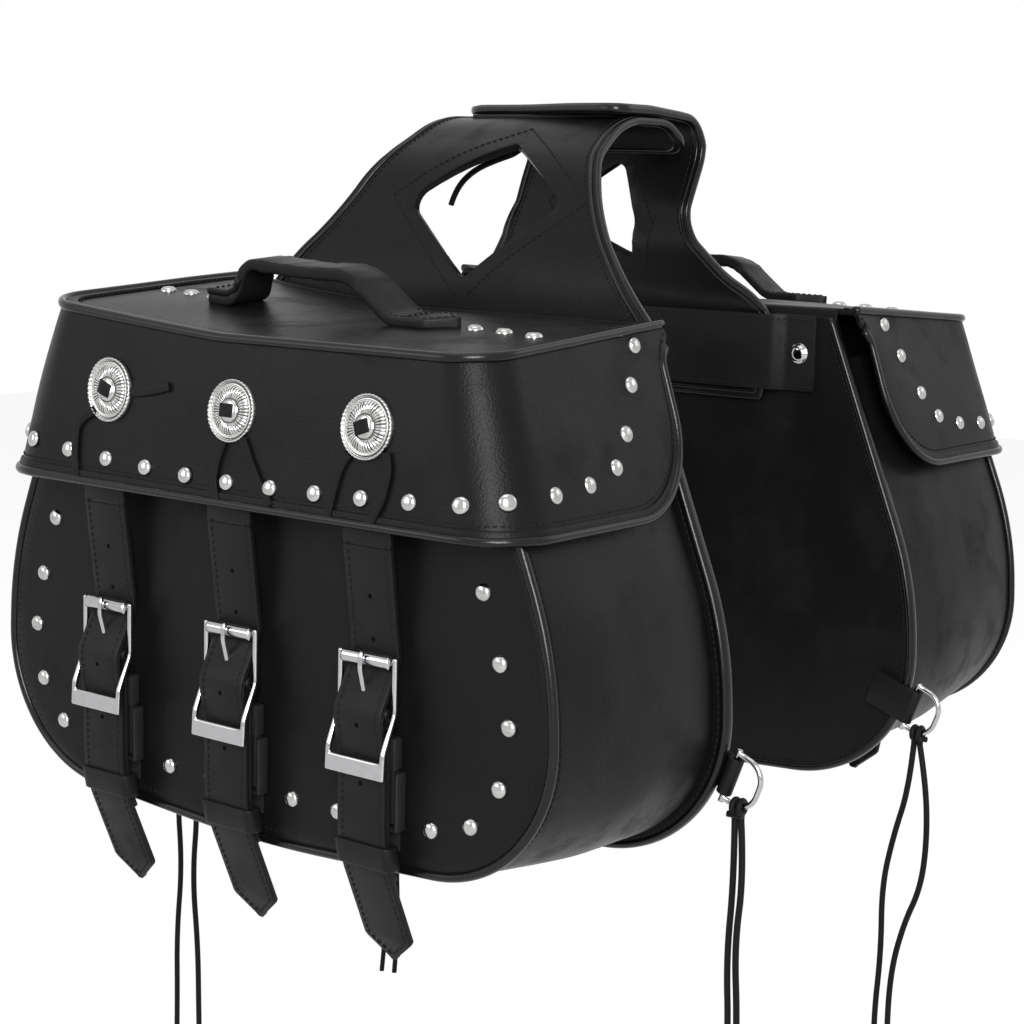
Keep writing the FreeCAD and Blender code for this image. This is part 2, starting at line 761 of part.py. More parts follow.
pin_stand = "(barStand - pinInset)"
pin_spot = spot(pin_stand, "bulgeDrop")
chape_stand = "(clipStand - strapThick / 2 - 2 * layerGap - chapeThick / 2)"
chape_foot = f"{chape_stand} - (clipStand - keeperStand)"
chape_strip = ribbon("ChapeStrip", "side", [
    spot(chape_stand, "bulgeDrop + axleRadius"), (*spot(chape_stand, "clipDrop"), "chapeBend"),
    (*spot(chape_foot, "keeperDrop"), "chapeBend"), spot(chape_foot + " - chapeTuck", "chapeEnd")],
    "strapWide - 2", "chapeThick")
half_chape = "strapWide / 2 - 1"
eye_bore = "(axleRadius + layerGap)"
eye_tube = rod("ChapeEyeTube", f"{eye_bore} + chapeThick", "-(" + half_chape + ")", half_chape, pin_spot)
eye = fuse("ChapeEye", eye_tube, chape_strip)
eye = cut("ChapeBored", eye, rod("ChapeBore", eye_bore, "-strapWide", "strapWide", pin_spot))
prong_gap = box("ProngGap", ("-prongSlot / 2", "-(bagGap / 2 + bulgeStand)", "-crownRise - bulgeDrop - 6"),
                ("prongSlot / 2", "-(bagGap / 2 + rollerStand)", "-crownRise - bulgeDrop + 6"))
chape = cut("Chape", eye, prong_gap)
keeper_mid = ("(clipStand - keeperTuckTop)", "(keeperStand - keeperTuckFoot)")
keeper_room = "(strapThick / 2 + layerGap + chapeThick / 2 + keeperPlay)"
keeper_levels = ("keeperDrop - keeperTall + keeperLow", "keeperDrop + keeperLow")


def keeper_prism(name, grow, half, lower):
    outer = [spot(f"{mid} + {keeper_room} + {grow}", level) for mid, level in zip(keeper_mid, keeper_levels)]
    back = [spot(f"{mid} - {keeper_room} - {lower}", level) for mid, level in zip(keeper_mid, keeper_levels)]
    return slab(name, "side", [outer[0], back[0], back[1], outer[1]], f"-({half})", half)


keeper_hole = keeper_prism("KeeperHole", "0", "strapWide / 2 + layerGap", "-keeperBack")
keeper = cut("Keeper", keeper_prism("KeeperBlock", "keeperThick", "strapWide / 2 + layerGap + keeperThick",
                                    "keeperThick - keeperBack"), keeper_hole)


# Roller buckle: a frame bent outward at its foot, an axle with its roller, a bar and a prong

axle_spot = spot("rollerStand + axleProud", "rollerDrop")
frame_strip = ribbon("BuckleStrip", "side", [
    spot("rollerStand + axleProud", "rollerDrop - frameHead"),
    (*spot("rollerStand + kneeProud", "bulgeDrop - frameKnee"), "frameKneeBend"),
    (*spot("rollerStand + shinProud", "bulgeDrop + frameShin"), "frameShinBend"),
    spot("rollerStand + footProud", "buckleFoot")], "buckleWide", "buckleWire")
window = box("BuckleWindow", ("-(strapWide + 1) / 2", far_out, f"-crownRise - buckleFoot + sillTall"),
             ("(strapWide + 1) / 2", "0", "-crownRise"))
frame = cut("BuckleFrame", frame_strip, window)
half_buckle = "buckleWide / 2"
prong = ribbon("Prong", "side", [
    spot(f"{pin_stand} + 0.4", "bulgeDrop"),
    (*spot("rollerStand + prongProud", "rollerDrop + prongRest"), "prongBend"),
    spot("rollerStand + prongTipProud", "rollerDrop - prongTip")], "2 * prongRadius", "2 * prongRadius")
metal = fuse("BuckleMetal", frame, rod("Axle", "axleRadius", "-" + half_buckle, half_buckle, axle_spot),
             rod("Bar", "axleRadius", "-" + half_buckle, half_buckle, pin_spot), prong)
half_roller = "(strapWide / 2 - layerGap)"
roller = cut("Roller", rod("RollerTube", "rollerRadius", "-" + half_roller, half_roller, axle_spot),
             rod("RollerBore", "axleRadius + layerGap", "-strapWide", "strapWide", axle_spot))
buckle = group("Buckle", metal, roller)


# Clips behind the straps: a tray on the bag and a plug on the strap's chape

tray_back = front_face + " - webbingThick"
tray_front = tray_back + " - clipDepth"
half_clip = "clipWide / 2"
tray_block = box("TrayBlock", ("-" + half_clip, tray_front, "-crownRise - clipFoot"),
                 (half_clip, tray_back, "-crownRise - clipShoulder - clipStep"))
half_hollow = "(clipWide / 2 - clipWall)"
tray_floor = "-crownRise - clipFoot + clipWall"
tray_hollow = box("TrayHollow", ("-" + half_hollow, f"{tray_front} - clipWall", tray_floor),
                  (half_hollow, f"{tray_back} - clipWall", "-crownRise - clipShoulder"))
tray = cut("Tray", tray_block, tray_hollow)
webbing = box("Webbing", ("-webbingWide / 2", tray_back, "-crownRise - webbingFoot"),
              ("webbingWide / 2", front_face, "-crownRise - clipFoot + 10"))
plug_back = f"{tray_back} - clipWall - clipPlay"
plug_front = f"-(bagGap / 2 + {chape_stand} - chapeThick / 2)"
plug_body = box("PlugBody", ("-(clipWide / 2 - clipPlay)", plug_front, "-crownRise - clipShoulder"),
                ("clipWide / 2 - clipPlay", plug_back, "-crownRise - clipTop"))
prong_out = "(clipWide / 2 - clipWall - clipPlay)"
arm_foot = "-crownRise - clipFoot + clipWall + clipStep"
plug_arms = [box(f"PlugArm{number}", (f"{middle} - clipStep", f"{tray_front} + clipPlay", arm_foot),
                 (f"{middle} + clipStep", plug_back, "-crownRise - clipShoulder + 1"))
             for number, middle in enumerate((f"-{prong_out} + clipStep", "0", f"{prong_out} - clipStep"))]
plug = fuse("Plug", plug_body, *plug_arms)

straps = {}
for row, i in (("rear", -1), ("middle", 0), ("front", 1)):
    x = f"strapShift + {i} * strapPitch"
    straps[row] = [shifted(f"{part}At{i}", item, x) for part, item in
                   (("Strap", group("StrapSet" + row, strap, fuse("ChapeSet" + row, chape, keeper))),
                    ("Buckle", buckle), ("Plug", plug), ("Tray", tray), ("Webbing", webbing))]


def skirt_depth(drop):
    """How far out the inside of the skirt's front lies at a level."""
    share = f"({drop} - lidSlope - lidTopThick) / (lidHemDrop - lidSlope - lidTopThick)"
    return f"(lidDepth - lidWall + (lidHemDepth - lidDepth) * {share})"


# Each strap's sewn top, inside the skirt
root = slab("StrapRoot", "side", [
    spot(skirt_depth("rootTop") + " + rootSink", "rootTop"),
    spot(skirt_depth("strapTop") + " + rootSink", "strapTop - layerGap"),
    spot("strapStand - strapThick / 2", "strapTop - layerGap"),
    spot(skirt_depth("rootTop") + " - strapThick", "rootTop")], "-strapWide / 2", "strapWide / 2")
roots = [shifted(f"RootAt{i}", root, f"strapShift + {i} * strapPitch") for i in (-1, 0, 1)]
lid_shell = fuse("LidWithRoots", lid_shell, *roots)


# Rings: each in a leather tab sewn over the back panel's bound edge, with a lace hitched to it

doc.recompute()


def bound_edge(drop):
    sections = binding_rim.Shape.slice(vec(0, 0, 1), -value("crownRise") - drop)
    return max(vertex.X for wire in sections for vertex in wire.Vertexes)


ring_drop = value("ringDrop")
tab_half = value("tabWide") / 2
ring_tilt = math.degrees(math.atan2(bound_edge(ring_drop - tab_half) - bound_edge(ring_drop + tab_half),
                                    2 * tab_half))
eye_out = value("ringBar + layerGap + tabThick")
ring_out = bound_edge(ring_drop) + eye_out + value("layerGap")
ring_y = value("-(bagGap / 2 - bindingThick - tabThick)") - eye_out
ring_spot = FreeCAD.Placement(vec(ring_out, ring_y, -value("crownRise") - ring_drop),
                              FreeCAD.Rotation(vec(0, 1, 0), ring_tilt))


def upright(name, radius, half):
    post = doc.addObject("Part::Cylinder", name)
    bind(post, Radius=radius, Height=f"2 * ({half})")
    return place(post, z=f"-({half})")


def at_ring(name, *items):
    item = group(name, *items)
    item.Placement = ring_spot
    return item


eye_inner = "(ringBar + layerGap)"
leaf_end = f"-({eye_inner} + tabThick + tabReach)"
leaf = box("TabLeaf", (leaf_end, eye_inner, "-tabWide / 2"), ("0", f"{eye_inner} + tabThick", "tabWide / 2"))
sewn = box("TabSewn", (leaf_end, f"{eye_inner} - bindingThick", "-tabWide / 2"),
           (f"-({eye_inner} + tabThick + layerGap + 3 * bindingThick)", eye_inner, "tabWide / 2"))
tab = cut("Tab", fuse("TabFold", upright("TabEye", f"{eye_inner} + tabThick", "tabWide / 2"), leaf, sewn),
          upright("TabBore", eye_inner, "tabWide"))
ring_path = trace("RingPath", "front", [
    ("0", "ringTall / 2"), ("ringReach", "ringTall / 2", "ringBend"),
    ("ringReach", "-ringTall / 2", "ringBend"), ("0", "-ringTall / 2")], closed=False)
doc.recompute()
bow = sweep("RingBow", circle("RingWire", "side", "ringWire", ("0", "0", "ringTall / 2")), ring_path)
ring = at_ring("Ring", fuse("RingMetal", bow, upright("RingBar", "ringBar", "ringTall / 2 + 1.5 * ringWire")))
front_tab = at_ring("TabFront", tab)

# The lowest place on the ring's bow carries the hitch
bend = value("ringBend")
tilt = math.radians(ring_tilt)
low = vec(value("ringReach") - bend + bend * math.sin(tilt), 0,
          bend - value("ringTall") / 2 - bend * math.cos(tilt))
hang = ring_spot.multVec(low)
wrap = "(ringWire + 0.2 + cordRadius)"
strand_shift = "(cordRadius + 0.15)"
turns = []
for side in (-1, 1):
    loop = doc.addObject("Part::Torus", f"HitchTurn{side}")
    shift = vec(side * value(strand_shift), 0, 0)
    loop.Placement = FreeCAD.Placement(shift, FreeCAD.Rotation(vec(0, 1, 0), 90))
    bind(loop, Radius1=wrap, Radius2="0.9 * cordRadius")
    leg = upright(f"HitchLeg{side}", "cordRadius", f"{wrap} / 2")
    place(leg, x=f"{side} * {strand_shift}", z=f"-2 * {wrap}")
    turns += [loop, leg]
band = rod("HitchBand", "0.95 * cordRadius", "-2.5 * cordRadius", "2.5 * cordRadius",
           (f"-0.9 * {wrap}", f"-1.1 * {wrap}"))
hitch = group("Hitch", fuse("HitchKnot", band, *turns))
hitch.Placement = FreeCAD.Placement(hang, FreeCAD.Rotation())


def flipped(name, item):
    twin = doc.addObject("Part::Mirroring", name)
    twin.Source = item
    twin.Normal = vec(1, 0, 0)
    return twin


front_ring = group("FrontRing", ring, hitch)
rear_ring = flipped("RearRing", front_ring)
rear_tab = flipped("RearTab", front_tab)


# Laces: two strands hang from each hitch, as (forward, left, down) from where it ends

lace_routes = {
    "right_front": (
        ((0, 0, 0), (0.6, 0.5, 34), (-1.8, 0, 76), (0.8, 1, 121), (-0.6, -1.5, 168), (2.4, 0.5, 214),
         (0.8, 1, 252)),
        ((0, 0, 0), (2.6, 0.5, 30), (-0.4, -1, 68), (2.2, 0.5, 110), (1.2, 2, 158), (4.8, 0, 206),
         (8.6, 1.5, 246))),
    "right_rear": (
        ((0, 0, 0), (-2, 1, 32), (-6.5, -1, 74), (-5, 1.5, 120), (-8.5, 0, 166), (-6, -2, 212), (-9, 0, 250)),
        ((0, 0, 0), (1.8, 0, 34), (5.5, 2, 78), (3, -0.5, 124), (6.5, 1, 172), (5, 3, 216), (8, 1, 255))),
    "left_front": (
        ((0, 0, 0), (-1.6, -0.5, 28), (-9.5, -1.5, 58), (-16.4, 0, 92), (-15.2, 1, 134), (-17, -1, 178),
         (-15, 0.5, 222), (-17.5, 1, 260)),
        ((0, 0, 0), (5.4, 0.5, 25), (8.2, -0.5, 58), (5.2, 0.5, 88), (-6, 3, 114), (-12.6, 2, 146),
         (-12, 0, 188), (-9.4, 2, 230), (-11.6, 1, 266))),
    "left_rear": (
        ((0, 0, 0), (-1.2, -1, 33), (-4, 1, 76), (-1.5, -0.5, 122), (-4.8, 1, 168), (-3, 2.5, 213),
         (-6, 1, 251)),
        ((0, 0, 0), (2.2, 0.5, 31), (0.6, -1.5, 72), (4, 0, 118), (2.5, 1.5, 164), (6.2, 0, 210),
         (4.5, -1.5, 248)))}


def strand(name, points, radius):
    """A round cord along straight runs whose corners are tangent arcs."""
    points = [vec(*p) for p in points]
    edges = []
    start = points[0]
    radii = []
    for before, corner, after in zip(points, points[1:], points[2:]):
        back, ahead = before - corner, after - corner
        reach = 0.45 * min(back.Length, ahead.Length)
        back.normalize()
        ahead.normalize()
        radii.append(reach / math.tan((math.pi - back.getAngle(ahead)) / 2))
        first, last = corner + back * reach, corner + ahead * reach
        bow = (back + ahead).normalize()
        depth = math.hypot(radii[-1], reach) - radii[-1]
        edges.append(Part.LineSegment(start, first).toShape())
        edges.append(Part.Arc(first, corner + bow * depth, last).toShape())
        start = last
    edges.append(Part.LineSegment(start, points[-1]).toShape())
    path = Part.Wire(edges)
    ahead = points[1] - points[0]
    section = Part.Wire([Part.makeCircle(radius, points[0], ahead)])
    solid = path.makePipeShell([section], True, False)
    share = solid.Volume / (math.pi * radius ** 2 * path.Length)
    print(name, "length", round(path.Length, 1), "least radius", round(min(radii), 1), "volume share",
          round(share, 4))
    item = doc.addObject("Part::Feature", name)
    item.Shape = solid
    return item


cord_start = hang - vec(0, 0, value(f"2 * {wrap}"))
lace_nodes = {}
for spot_name, strands in lace_routes.items():
    side = 1 if spot_name.startswith("right") else -1
    end = 1 if spot_name.endswith("front") else -1
    members = []
    for number, (route, step) in enumerate(zip(strands, (-1, 1))):
        start = vec(end * cord_start.x + step * value(strand_shift), side * cord_start.y, cord_start.z)
        points = [start + vec(x, y, -down) for x, y, down in route]
        members.append(strand(f"{spot_name}_strand{number}", points, value("cordRadius")))
    lace_nodes[spot_name] = group("Lace" + spot_name, *members)


# Yoke: two halves lie over each other on the seat, with hook-and-loop between them

leg_line = "(bagGap / 2 - yokeThick / 2)"
lower_level = "yokeThick / 2"
upper_level = "(1.5 * yokeThick + patchThick + layerGap)"
yoke_sides = [("crownHalf", "crownRise"), ("crownHalf", "-neckDrop", "neckBend"),
              ("kneeHalf", "-kneeDrop", "kneeBend"),
              ("hemHalf", "-hemDrop"), ("tuckHalf", "-tuckDrop"), ("footHalf", "-footDrop - 1")]
yoke_outline = slab("YokeOutline", "front",
                    [("-" + x, *rest) for x, *rest in yoke_sides] + yoke_sides[::-1], "-bagGap", "bagGap")
yoke_window = slab("YokeWindow", "front", [
    ("windowShift - windowHalf", "-windowMid", "windowSideBend"),
    ("windowShift", "-windowFoot", "windowFootBend"),
    ("windowShift + windowHalf", "-windowMid", "windowSideBend"),
    ("windowShift", "-windowTop", "windowTopBend")], "-bagGap", "bagGap")
lower_half = ribbon("LowerHalf", "side", [
    ("-" + leg_line, "-footDrop"), ("-" + leg_line, "-hemDrop + lowerHipUp", "lowerHipBend"),
    (f"-{leg_line} + lowerWaistIn", "-hemDrop + lowerWaistUp", "lowerBend"),
    (f"-{leg_line} + lowerCrownIn", lower_level, "lowerBend"), ("lowerEnd", lower_level)],
    "2 * hemHalf", "yokeThick")
upper_half = ribbon("UpperHalf", "side", [
    (leg_line, "-footDrop"), (leg_line, "-hemDrop - upperHipLow", "upperHipBend"),
    (f"{leg_line} - upperWaistIn", "-hemDrop + upperWaistUp", "upperWaistBend"),
    (f"{leg_line} - upperSwellIn", "-hemDrop + upperSwellUp", "upperSwellBend"),
    (f"{leg_line} - upperCrownIn", upper_level, "upperCrownBend"), ("-upperEnd", upper_level)],
    "2 * hemHalf", "yokeThick")
right_yoke = cut("LowerYoke", common("LowerShaped", lower_half, yoke_outline), yoke_window)
left_yoke = cut("UpperYoke", common("UpperShaped", upper_half, yoke_outline), yoke_window)
patch = box("Patch", ("-patchHalf", "-upperEnd + 2", "yokeThick"),
            ("patchHalf", "lowerEnd - 2", "yokeThick + patchThick"))

# Loop strap: holds the yoke's foot against the back panel
loop_end = "-(bagGap / 2 - loopThick / 2)"
loop_out = "-(bagGap / 2 - yokeThick - layerGap - loopThick / 2)"
loop_strap = group("LoopStrap", ribbon("LoopStrip", "top", [
    ("-loopHalf", loop_end), ("-loopHalf + loopSewn", loop_end, "loopStep"),
    ("-loopHalf + loopSewn + loopStep", loop_out, "loopStep"),
    ("loopHalf - loopSewn - loopStep", loop_out, "loopStep"),
    ("loopHalf - loopSewn", loop_end, "loopStep"), ("loopHalf", loop_end)],
    "loopTall", "loopThick"))
place(loop_strap, z="-crownRise - loopDrop - loopTall / 2")

# Tie lace: knotted through the yoke's underside, its end hangs in the arch
tie_route = ((2, -28.6, -10), (-3.5, -29, -15.5), (-17.4, -29, -19.2), (-32.4, -30, -24.6),
             (-42.9, -31, -31.9), (-50.5, -30, -40.9), (-52.7, -30, -46.8))
doc.recompute()
arch_floor = vec(2, -30, -value("footDrop"))
knot_seat, knot_way = on_surface(right_yoke.Shape, arch_floor, vec(0, 0, value("footDrop + crownRise")))
tie_knot = doc.addObject("Part::Sphere", "TieKnot")
bind(tie_knot, Radius="2 * cordRadius")
tie_knot.Placement.Base = knot_seat + knot_way * value("2 * cordRadius")
right_yoke = group("LowerYokeKnotted", right_yoke, tie_knot)
yoke_tie = strand("TieLace", tie_route, value("cordRadius"))


keep("right_yoke", right_yoke)
keep("left_yoke", left_yoke)
keep("yoke_patch", patch)
keep("yoke_tie_lace", yoke_tie)
for spot_name, laces_hung in lace_nodes.items():
    side, end = spot_name.split("_")
    keep(f"{side}_lace_{end}", laces_hung)
for label, item in (
        ("back_panel", back_panel), ("front_panel", front_panel), ("gusset", gusset),
        ("seam_piping", seam_piping), ("front_studs", front_studs), ("boards", boards),
        ("loop_strap", loop_strap), ("lid_shell", lid_shell), ("lid_piping", lid_piping),
        ("lid_studs", lid_studs), ("handle", handle), ("conchos", conchos),
        ("concho_laces", concho_laces), ("ring_front", front_ring), ("ring_rear", rear_ring)):
    keep_both(label, item)
keep_both("clip_sockets", group("Trays", *[parts[3] for parts in straps.values()]))
keep_both("sewn_tabs", group("SewnTabs", front_tab, rear_tab, *[parts[4] for parts in straps.values()]))
for row, (strap_set, buckle_set, plug_set, _, _) in straps.items():
    keep_both("strap_" + row, strap_set)
    keep_both("buckle_" + row, buckle_set)
    keep_both("clip_plug_" + row, plug_set)

doc.recompute()
for item in doc.Objects:
    if "Invalid" in item.State or "Error" in item.State:
        raise ValueError(f"{item.Name} did not build: {item.State}")
os.makedirs("parts", exist_ok=True)
for label, item in nodes.items():
    if item.Shape.isNull() or not item.Shape.isValid():
        raise ValueError(f"{label} is not a sound shape")
    item.Label = label
    item.Shape.exportStep(f"parts/{label}.step")
print("kept", len(nodes), "nodes; ring hinge", ring_spot.Base, "tilt", round(ring_tilt, 2))
print("cords start", cord_start)
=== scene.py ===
import bpy, bmesh, json, math
import numpy as np
from mathutils import Matrix, Vector, noise
from mathutils.bvhtree import BVHTree

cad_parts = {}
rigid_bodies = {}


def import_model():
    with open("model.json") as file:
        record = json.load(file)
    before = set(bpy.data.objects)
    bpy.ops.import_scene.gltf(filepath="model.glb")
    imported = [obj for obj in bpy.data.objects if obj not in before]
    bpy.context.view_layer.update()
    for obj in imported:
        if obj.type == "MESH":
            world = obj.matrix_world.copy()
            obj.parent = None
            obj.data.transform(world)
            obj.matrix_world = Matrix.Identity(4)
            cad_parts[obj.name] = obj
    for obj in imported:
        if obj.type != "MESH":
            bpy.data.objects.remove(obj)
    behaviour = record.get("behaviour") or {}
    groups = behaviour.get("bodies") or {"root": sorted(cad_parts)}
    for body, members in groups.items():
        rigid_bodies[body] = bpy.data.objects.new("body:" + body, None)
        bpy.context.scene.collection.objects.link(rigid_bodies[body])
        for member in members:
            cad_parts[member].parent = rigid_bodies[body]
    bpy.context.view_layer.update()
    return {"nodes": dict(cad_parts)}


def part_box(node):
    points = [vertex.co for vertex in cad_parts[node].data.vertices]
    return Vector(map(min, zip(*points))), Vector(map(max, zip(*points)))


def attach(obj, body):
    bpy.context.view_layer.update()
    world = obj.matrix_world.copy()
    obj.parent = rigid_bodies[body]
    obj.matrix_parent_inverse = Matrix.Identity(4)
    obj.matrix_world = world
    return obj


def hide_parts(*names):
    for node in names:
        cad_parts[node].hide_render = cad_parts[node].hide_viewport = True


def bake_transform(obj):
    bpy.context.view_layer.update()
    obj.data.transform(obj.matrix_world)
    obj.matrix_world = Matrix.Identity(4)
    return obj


for obj in list(bpy.data.objects):
    bpy.data.objects.remove(obj)
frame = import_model()
scene = bpy.context.scene

# Places that come from the frame
backFace = -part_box("right_back_panel")[1][1]      # half the gap between the bags
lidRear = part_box("right_lid_shell")[1][2]         # height of the lids' rear edge
mm = 0.001

def added(name, data):
    obj = bpy.data.objects.new(name, data)
    scene.collection.objects.link(obj)
    return obj

# The piece joins its body, and the CAD nodes that it stands for are hidden
def fit(obj, body, slot, *nodes):
    if body:
        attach(obj, body)
    if nodes:
        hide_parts(*nodes)
    return obj


# Camera

camera = {"place": (0.76198, -1.00955, -0.03134), "yaw": 37.919, "pitch": 8.987, "roll": 1.270, "lens": 73.74}

def addCamera():
    data = bpy.data.cameras.new("camera")
    data.lens = camera["lens"]
    data.sensor_width = 36
    data.clip_end = 30
    obj = added("camera", data)
    yaw, pitch, roll = (math.radians(camera[k]) for k in ("yaw", "pitch", "roll"))
    ahead = Vector((-math.sin(yaw) * math.cos(pitch), math.cos(yaw) * math.cos(pitch), -math.sin(pitch)))
    level = Vector((math.cos(yaw), math.sin(yaw), 0))
    above = level.cross(ahead)
    across = math.cos(roll) * level + math.sin(roll) * above
    upward = math.cos(roll) * above - math.sin(roll) * level
    turn = Matrix((across, upward, -ahead)).transposed().to_4x4()
    obj.matrix_world = Matrix.Translation(camera["place"]) @ turn
    scene.camera = obj

addCamera()
print("camera placed")


# Materials

def newMaterial(name):
    material = bpy.data.materials.new(name)
    material.use_nodes = True
    return material, material.node_tree, material.node_tree.nodes["Principled BSDF"]

def newGroup(name, inputs, outputs):
    group = bpy.data.node_groups.new(name, "ShaderNodeTree")
    for label, kind, default in inputs:
        socket = group.interface.new_socket(label, in_out="INPUT", socket_type=kind)
        socket.default_value = default
    for label, kind in outputs:
        group.interface.new_socket(label, in_out="OUTPUT", socket_type=kind)
    return group, group.nodes.new("NodeGroupInput"), group.nodes.new("NodeGroupOutput")

# A node with its settings made, its inputs set or linked
def addNode(tree, kind, inputs=(), **settings):
    node = tree.nodes.new(kind)
    for name, value in settings.items():
        setattr(node, name, value)
    for label, value in dict(inputs).items():
        if hasattr(value, "links"):
            tree.links.new(value, node.inputs[label])
        else:
            node.inputs[label].default_value = value
    return node

def mathNode(tree, operation, *values):
    return addNode(tree, "ShaderNodeMath", enumerate(values), operation=operation).outputs[0]

def objectPlace(tree):
    return addNode(tree, "ShaderNodeTexCoord").outputs["Object"]

# Pebbled grain: rounded cells with finer pores, and slow wrinkles under them
def buildGrain():
    group, given, out = newGroup("leatherGrain",
        [("Scale", "NodeSocketFloat", 900.0), ("Wrinkle", "NodeSocketFloat", 0.5)],
        [("Height", "NodeSocketFloat"), ("Shade", "NodeSocketFloat")])
    place, scale = objectPlace(group), given.outputs["Scale"]
    cells = addNode(group, "ShaderNodeTexVoronoi", {"Vector": place, "Scale": scale, "Smoothness": 0.6},
                    feature="SMOOTH_F1")
    pores = addNode(group, "ShaderNodeTexNoise",
                    {"Vector": place, "Scale": mathNode(group, "MULTIPLY", scale, 2.3), "Detail": 3})
    slow = addNode(group, "ShaderNodeTexNoise", {"Vector": place, "Scale": 28, "Detail": 4})
    cell = mathNode(group, "MULTIPLY", cells.outputs["Distance"], -1.0)
    fine = mathNode(group, "MULTIPLY", pores.outputs["Fac"], 0.35)
    broad = mathNode(group, "MULTIPLY", slow.outputs["Fac"], given.outputs["Wrinkle"])
    height = mathNode(group, "ADD", mathNode(group, "ADD", cell, fine), broad)
    group.links.new(height, out.inputs["Height"])
    group.links.new(slow.outputs["Fac"], out.inputs["Shade"])
    return group

# Scuffs: sparse soft patches where a finish has dulled
def buildScuff():
    group, given, out = newGroup("scuff",
        [("Scale", "NodeSocketFloat", 30.0), ("Amount", "NodeSocketFloat", 0.3)],
        [("Mask", "NodeSocketFloat")])
    place, scale = objectPlace(group), given.outputs["Scale"]
    blot = addNode(group, "ShaderNodeTexNoise",
                   {"Vector": place, "Scale": scale, "Detail": 6, "Roughness": 0.65})
    spread = addNode(group, "ShaderNodeMapRange",
                     {"Value": blot.outputs["Fac"], "From Min": 0.5, "From Max": 0.72}).outputs[0]
    group.links.new(mathNode(group, "MULTIPLY", spread, given.outputs["Amount"]), out.inputs["Mask"])
    return group

grainGroup = buildGrain()
scuffGroup = buildScuff()

def ramp(tree, source, low, high):
    return addNode(tree, "ShaderNodeMapRange", {"Value": source, "To Min": low, "To Max": high}).outputs[0]

def mixColours(tree, factor, first, second):
    return addNode(tree, "ShaderNodeMix", {"Factor": factor, "A": (*first, 1), "B": (*second, 1)},
                   data_type="RGBA").outputs["Result"]

def bumped(tree, shader, height, distance, strength=0.6):
    bump = addNode(tree, "ShaderNodeBump", {"Height": height, "Distance": distance, "Strength": strength})
    tree.links.new(bump.outputs[0], shader.inputs["Normal"])

def grey(value):
    return value, value, value

def leatherMaterial(name, dark, light, rough, grain, depth, wrinkle, specular, scuffed=0.25):
    material, tree, shader = newMaterial(name)
    skin = addNode(tree, "ShaderNodeGroup", {"Scale": grain, "Wrinkle": wrinkle}, node_tree=grainGroup)
    worn = addNode(tree, "ShaderNodeGroup", {"Scale": 26.0, "Amount": scuffed}, node_tree=scuffGroup)
    shade = skin.outputs["Shade"]
    tree.links.new(mixColours(tree, shade, grey(dark), grey(light)), shader.inputs["Base Color"])
    dulled = mathNode(tree, "ADD", ramp(tree, shade, rough - 0.05, rough + 0.05), worn.outputs["Mask"])
    tree.links.new(dulled, shader.inputs["Roughness"])
    shader.inputs["Specular IOR Level"].default_value = specular
    bumped(tree, shader, skin.outputs["Height"], depth)
    return material

# Its scuffs are duller and rougher, by the two roughness figures: the clean value and the scuffs' share
def metalMaterial(name, scale, amount, clean, dull, rough):
    material, tree, shader = newMaterial(name)
    scuffs = {"Scale": scale, "Amount": amount}
    mask = addNode(tree, "ShaderNodeGroup", scuffs, node_tree=scuffGroup).outputs["Mask"]
    shader.inputs["Metallic"].default_value = 1
    tree.links.new(mixColours(tree, mask, clean, dull), shader.inputs["Base Color"])
    tree.links.new(mathNode(tree, "MULTIPLY_ADD", mask, rough[1], rough[0]), shader.inputs["Roughness"])
    return material

def plasticMaterial():
    material, tree, shader = newMaterial("clipPlastic")
    fine = addNode(tree, "ShaderNodeTexNoise", {"Vector": objectPlace(tree), "Scale": 2600}).outputs["Fac"]
    tree.links.new(ramp(tree, fine, 0.34, 0.5), shader.inputs["Roughness"])
    shader.inputs["Base Color"].default_value = (0.012, 0.012, 0.013, 1)
    bumped(tree, shader, fine, 0.0001, 0.25)
    return material

# Woven tape: two crossing waves for the webbing, loop pile and lining
def buildWeave():
    group, given, out = newGroup("weave", [("Pitch", "NodeSocketFloat", 0.001)],
                                 [("Height", "NodeSocketFloat"), ("Shade", "NodeSocketFloat")])
    parts = addNode(group, "ShaderNodeSeparateXYZ", {0: objectPlace(group)})
    waves = []
    for axis in "XZ":
        turns = mathNode(group, "DIVIDE", parts.outputs[axis], given.outputs["Pitch"])
        waves.append(mathNode(group, "SINE", mathNode(group, "MULTIPLY", turns, math.tau)))
    height = mathNode(group, "MULTIPLY", waves[0], waves[1])
    group.links.new(height, out.inputs["Height"])
    group.links.new(mathNode(group, "MULTIPLY_ADD", height, 0.5, 0.5), out.inputs["Shade"])
    return group

weaveGroup = buildWeave()

def clothMaterial(name, dark, light, pitch):
    material, tree, shader = newMaterial(name)
    cloth = addNode(tree, "ShaderNodeGroup", {"Pitch": pitch}, node_tree=weaveGroup)
    tree.links.new(mixColours(tree, cloth.outputs["Shade"], dark, light), shader.inputs["Base Color"])
    shader.inputs["Roughness"].default_value = 0.85
    shader.inputs["Specular IOR Level"].default_value = 0.2
    bumped(tree, shader, cloth.outputs["Height"], 0.0003)
    return material

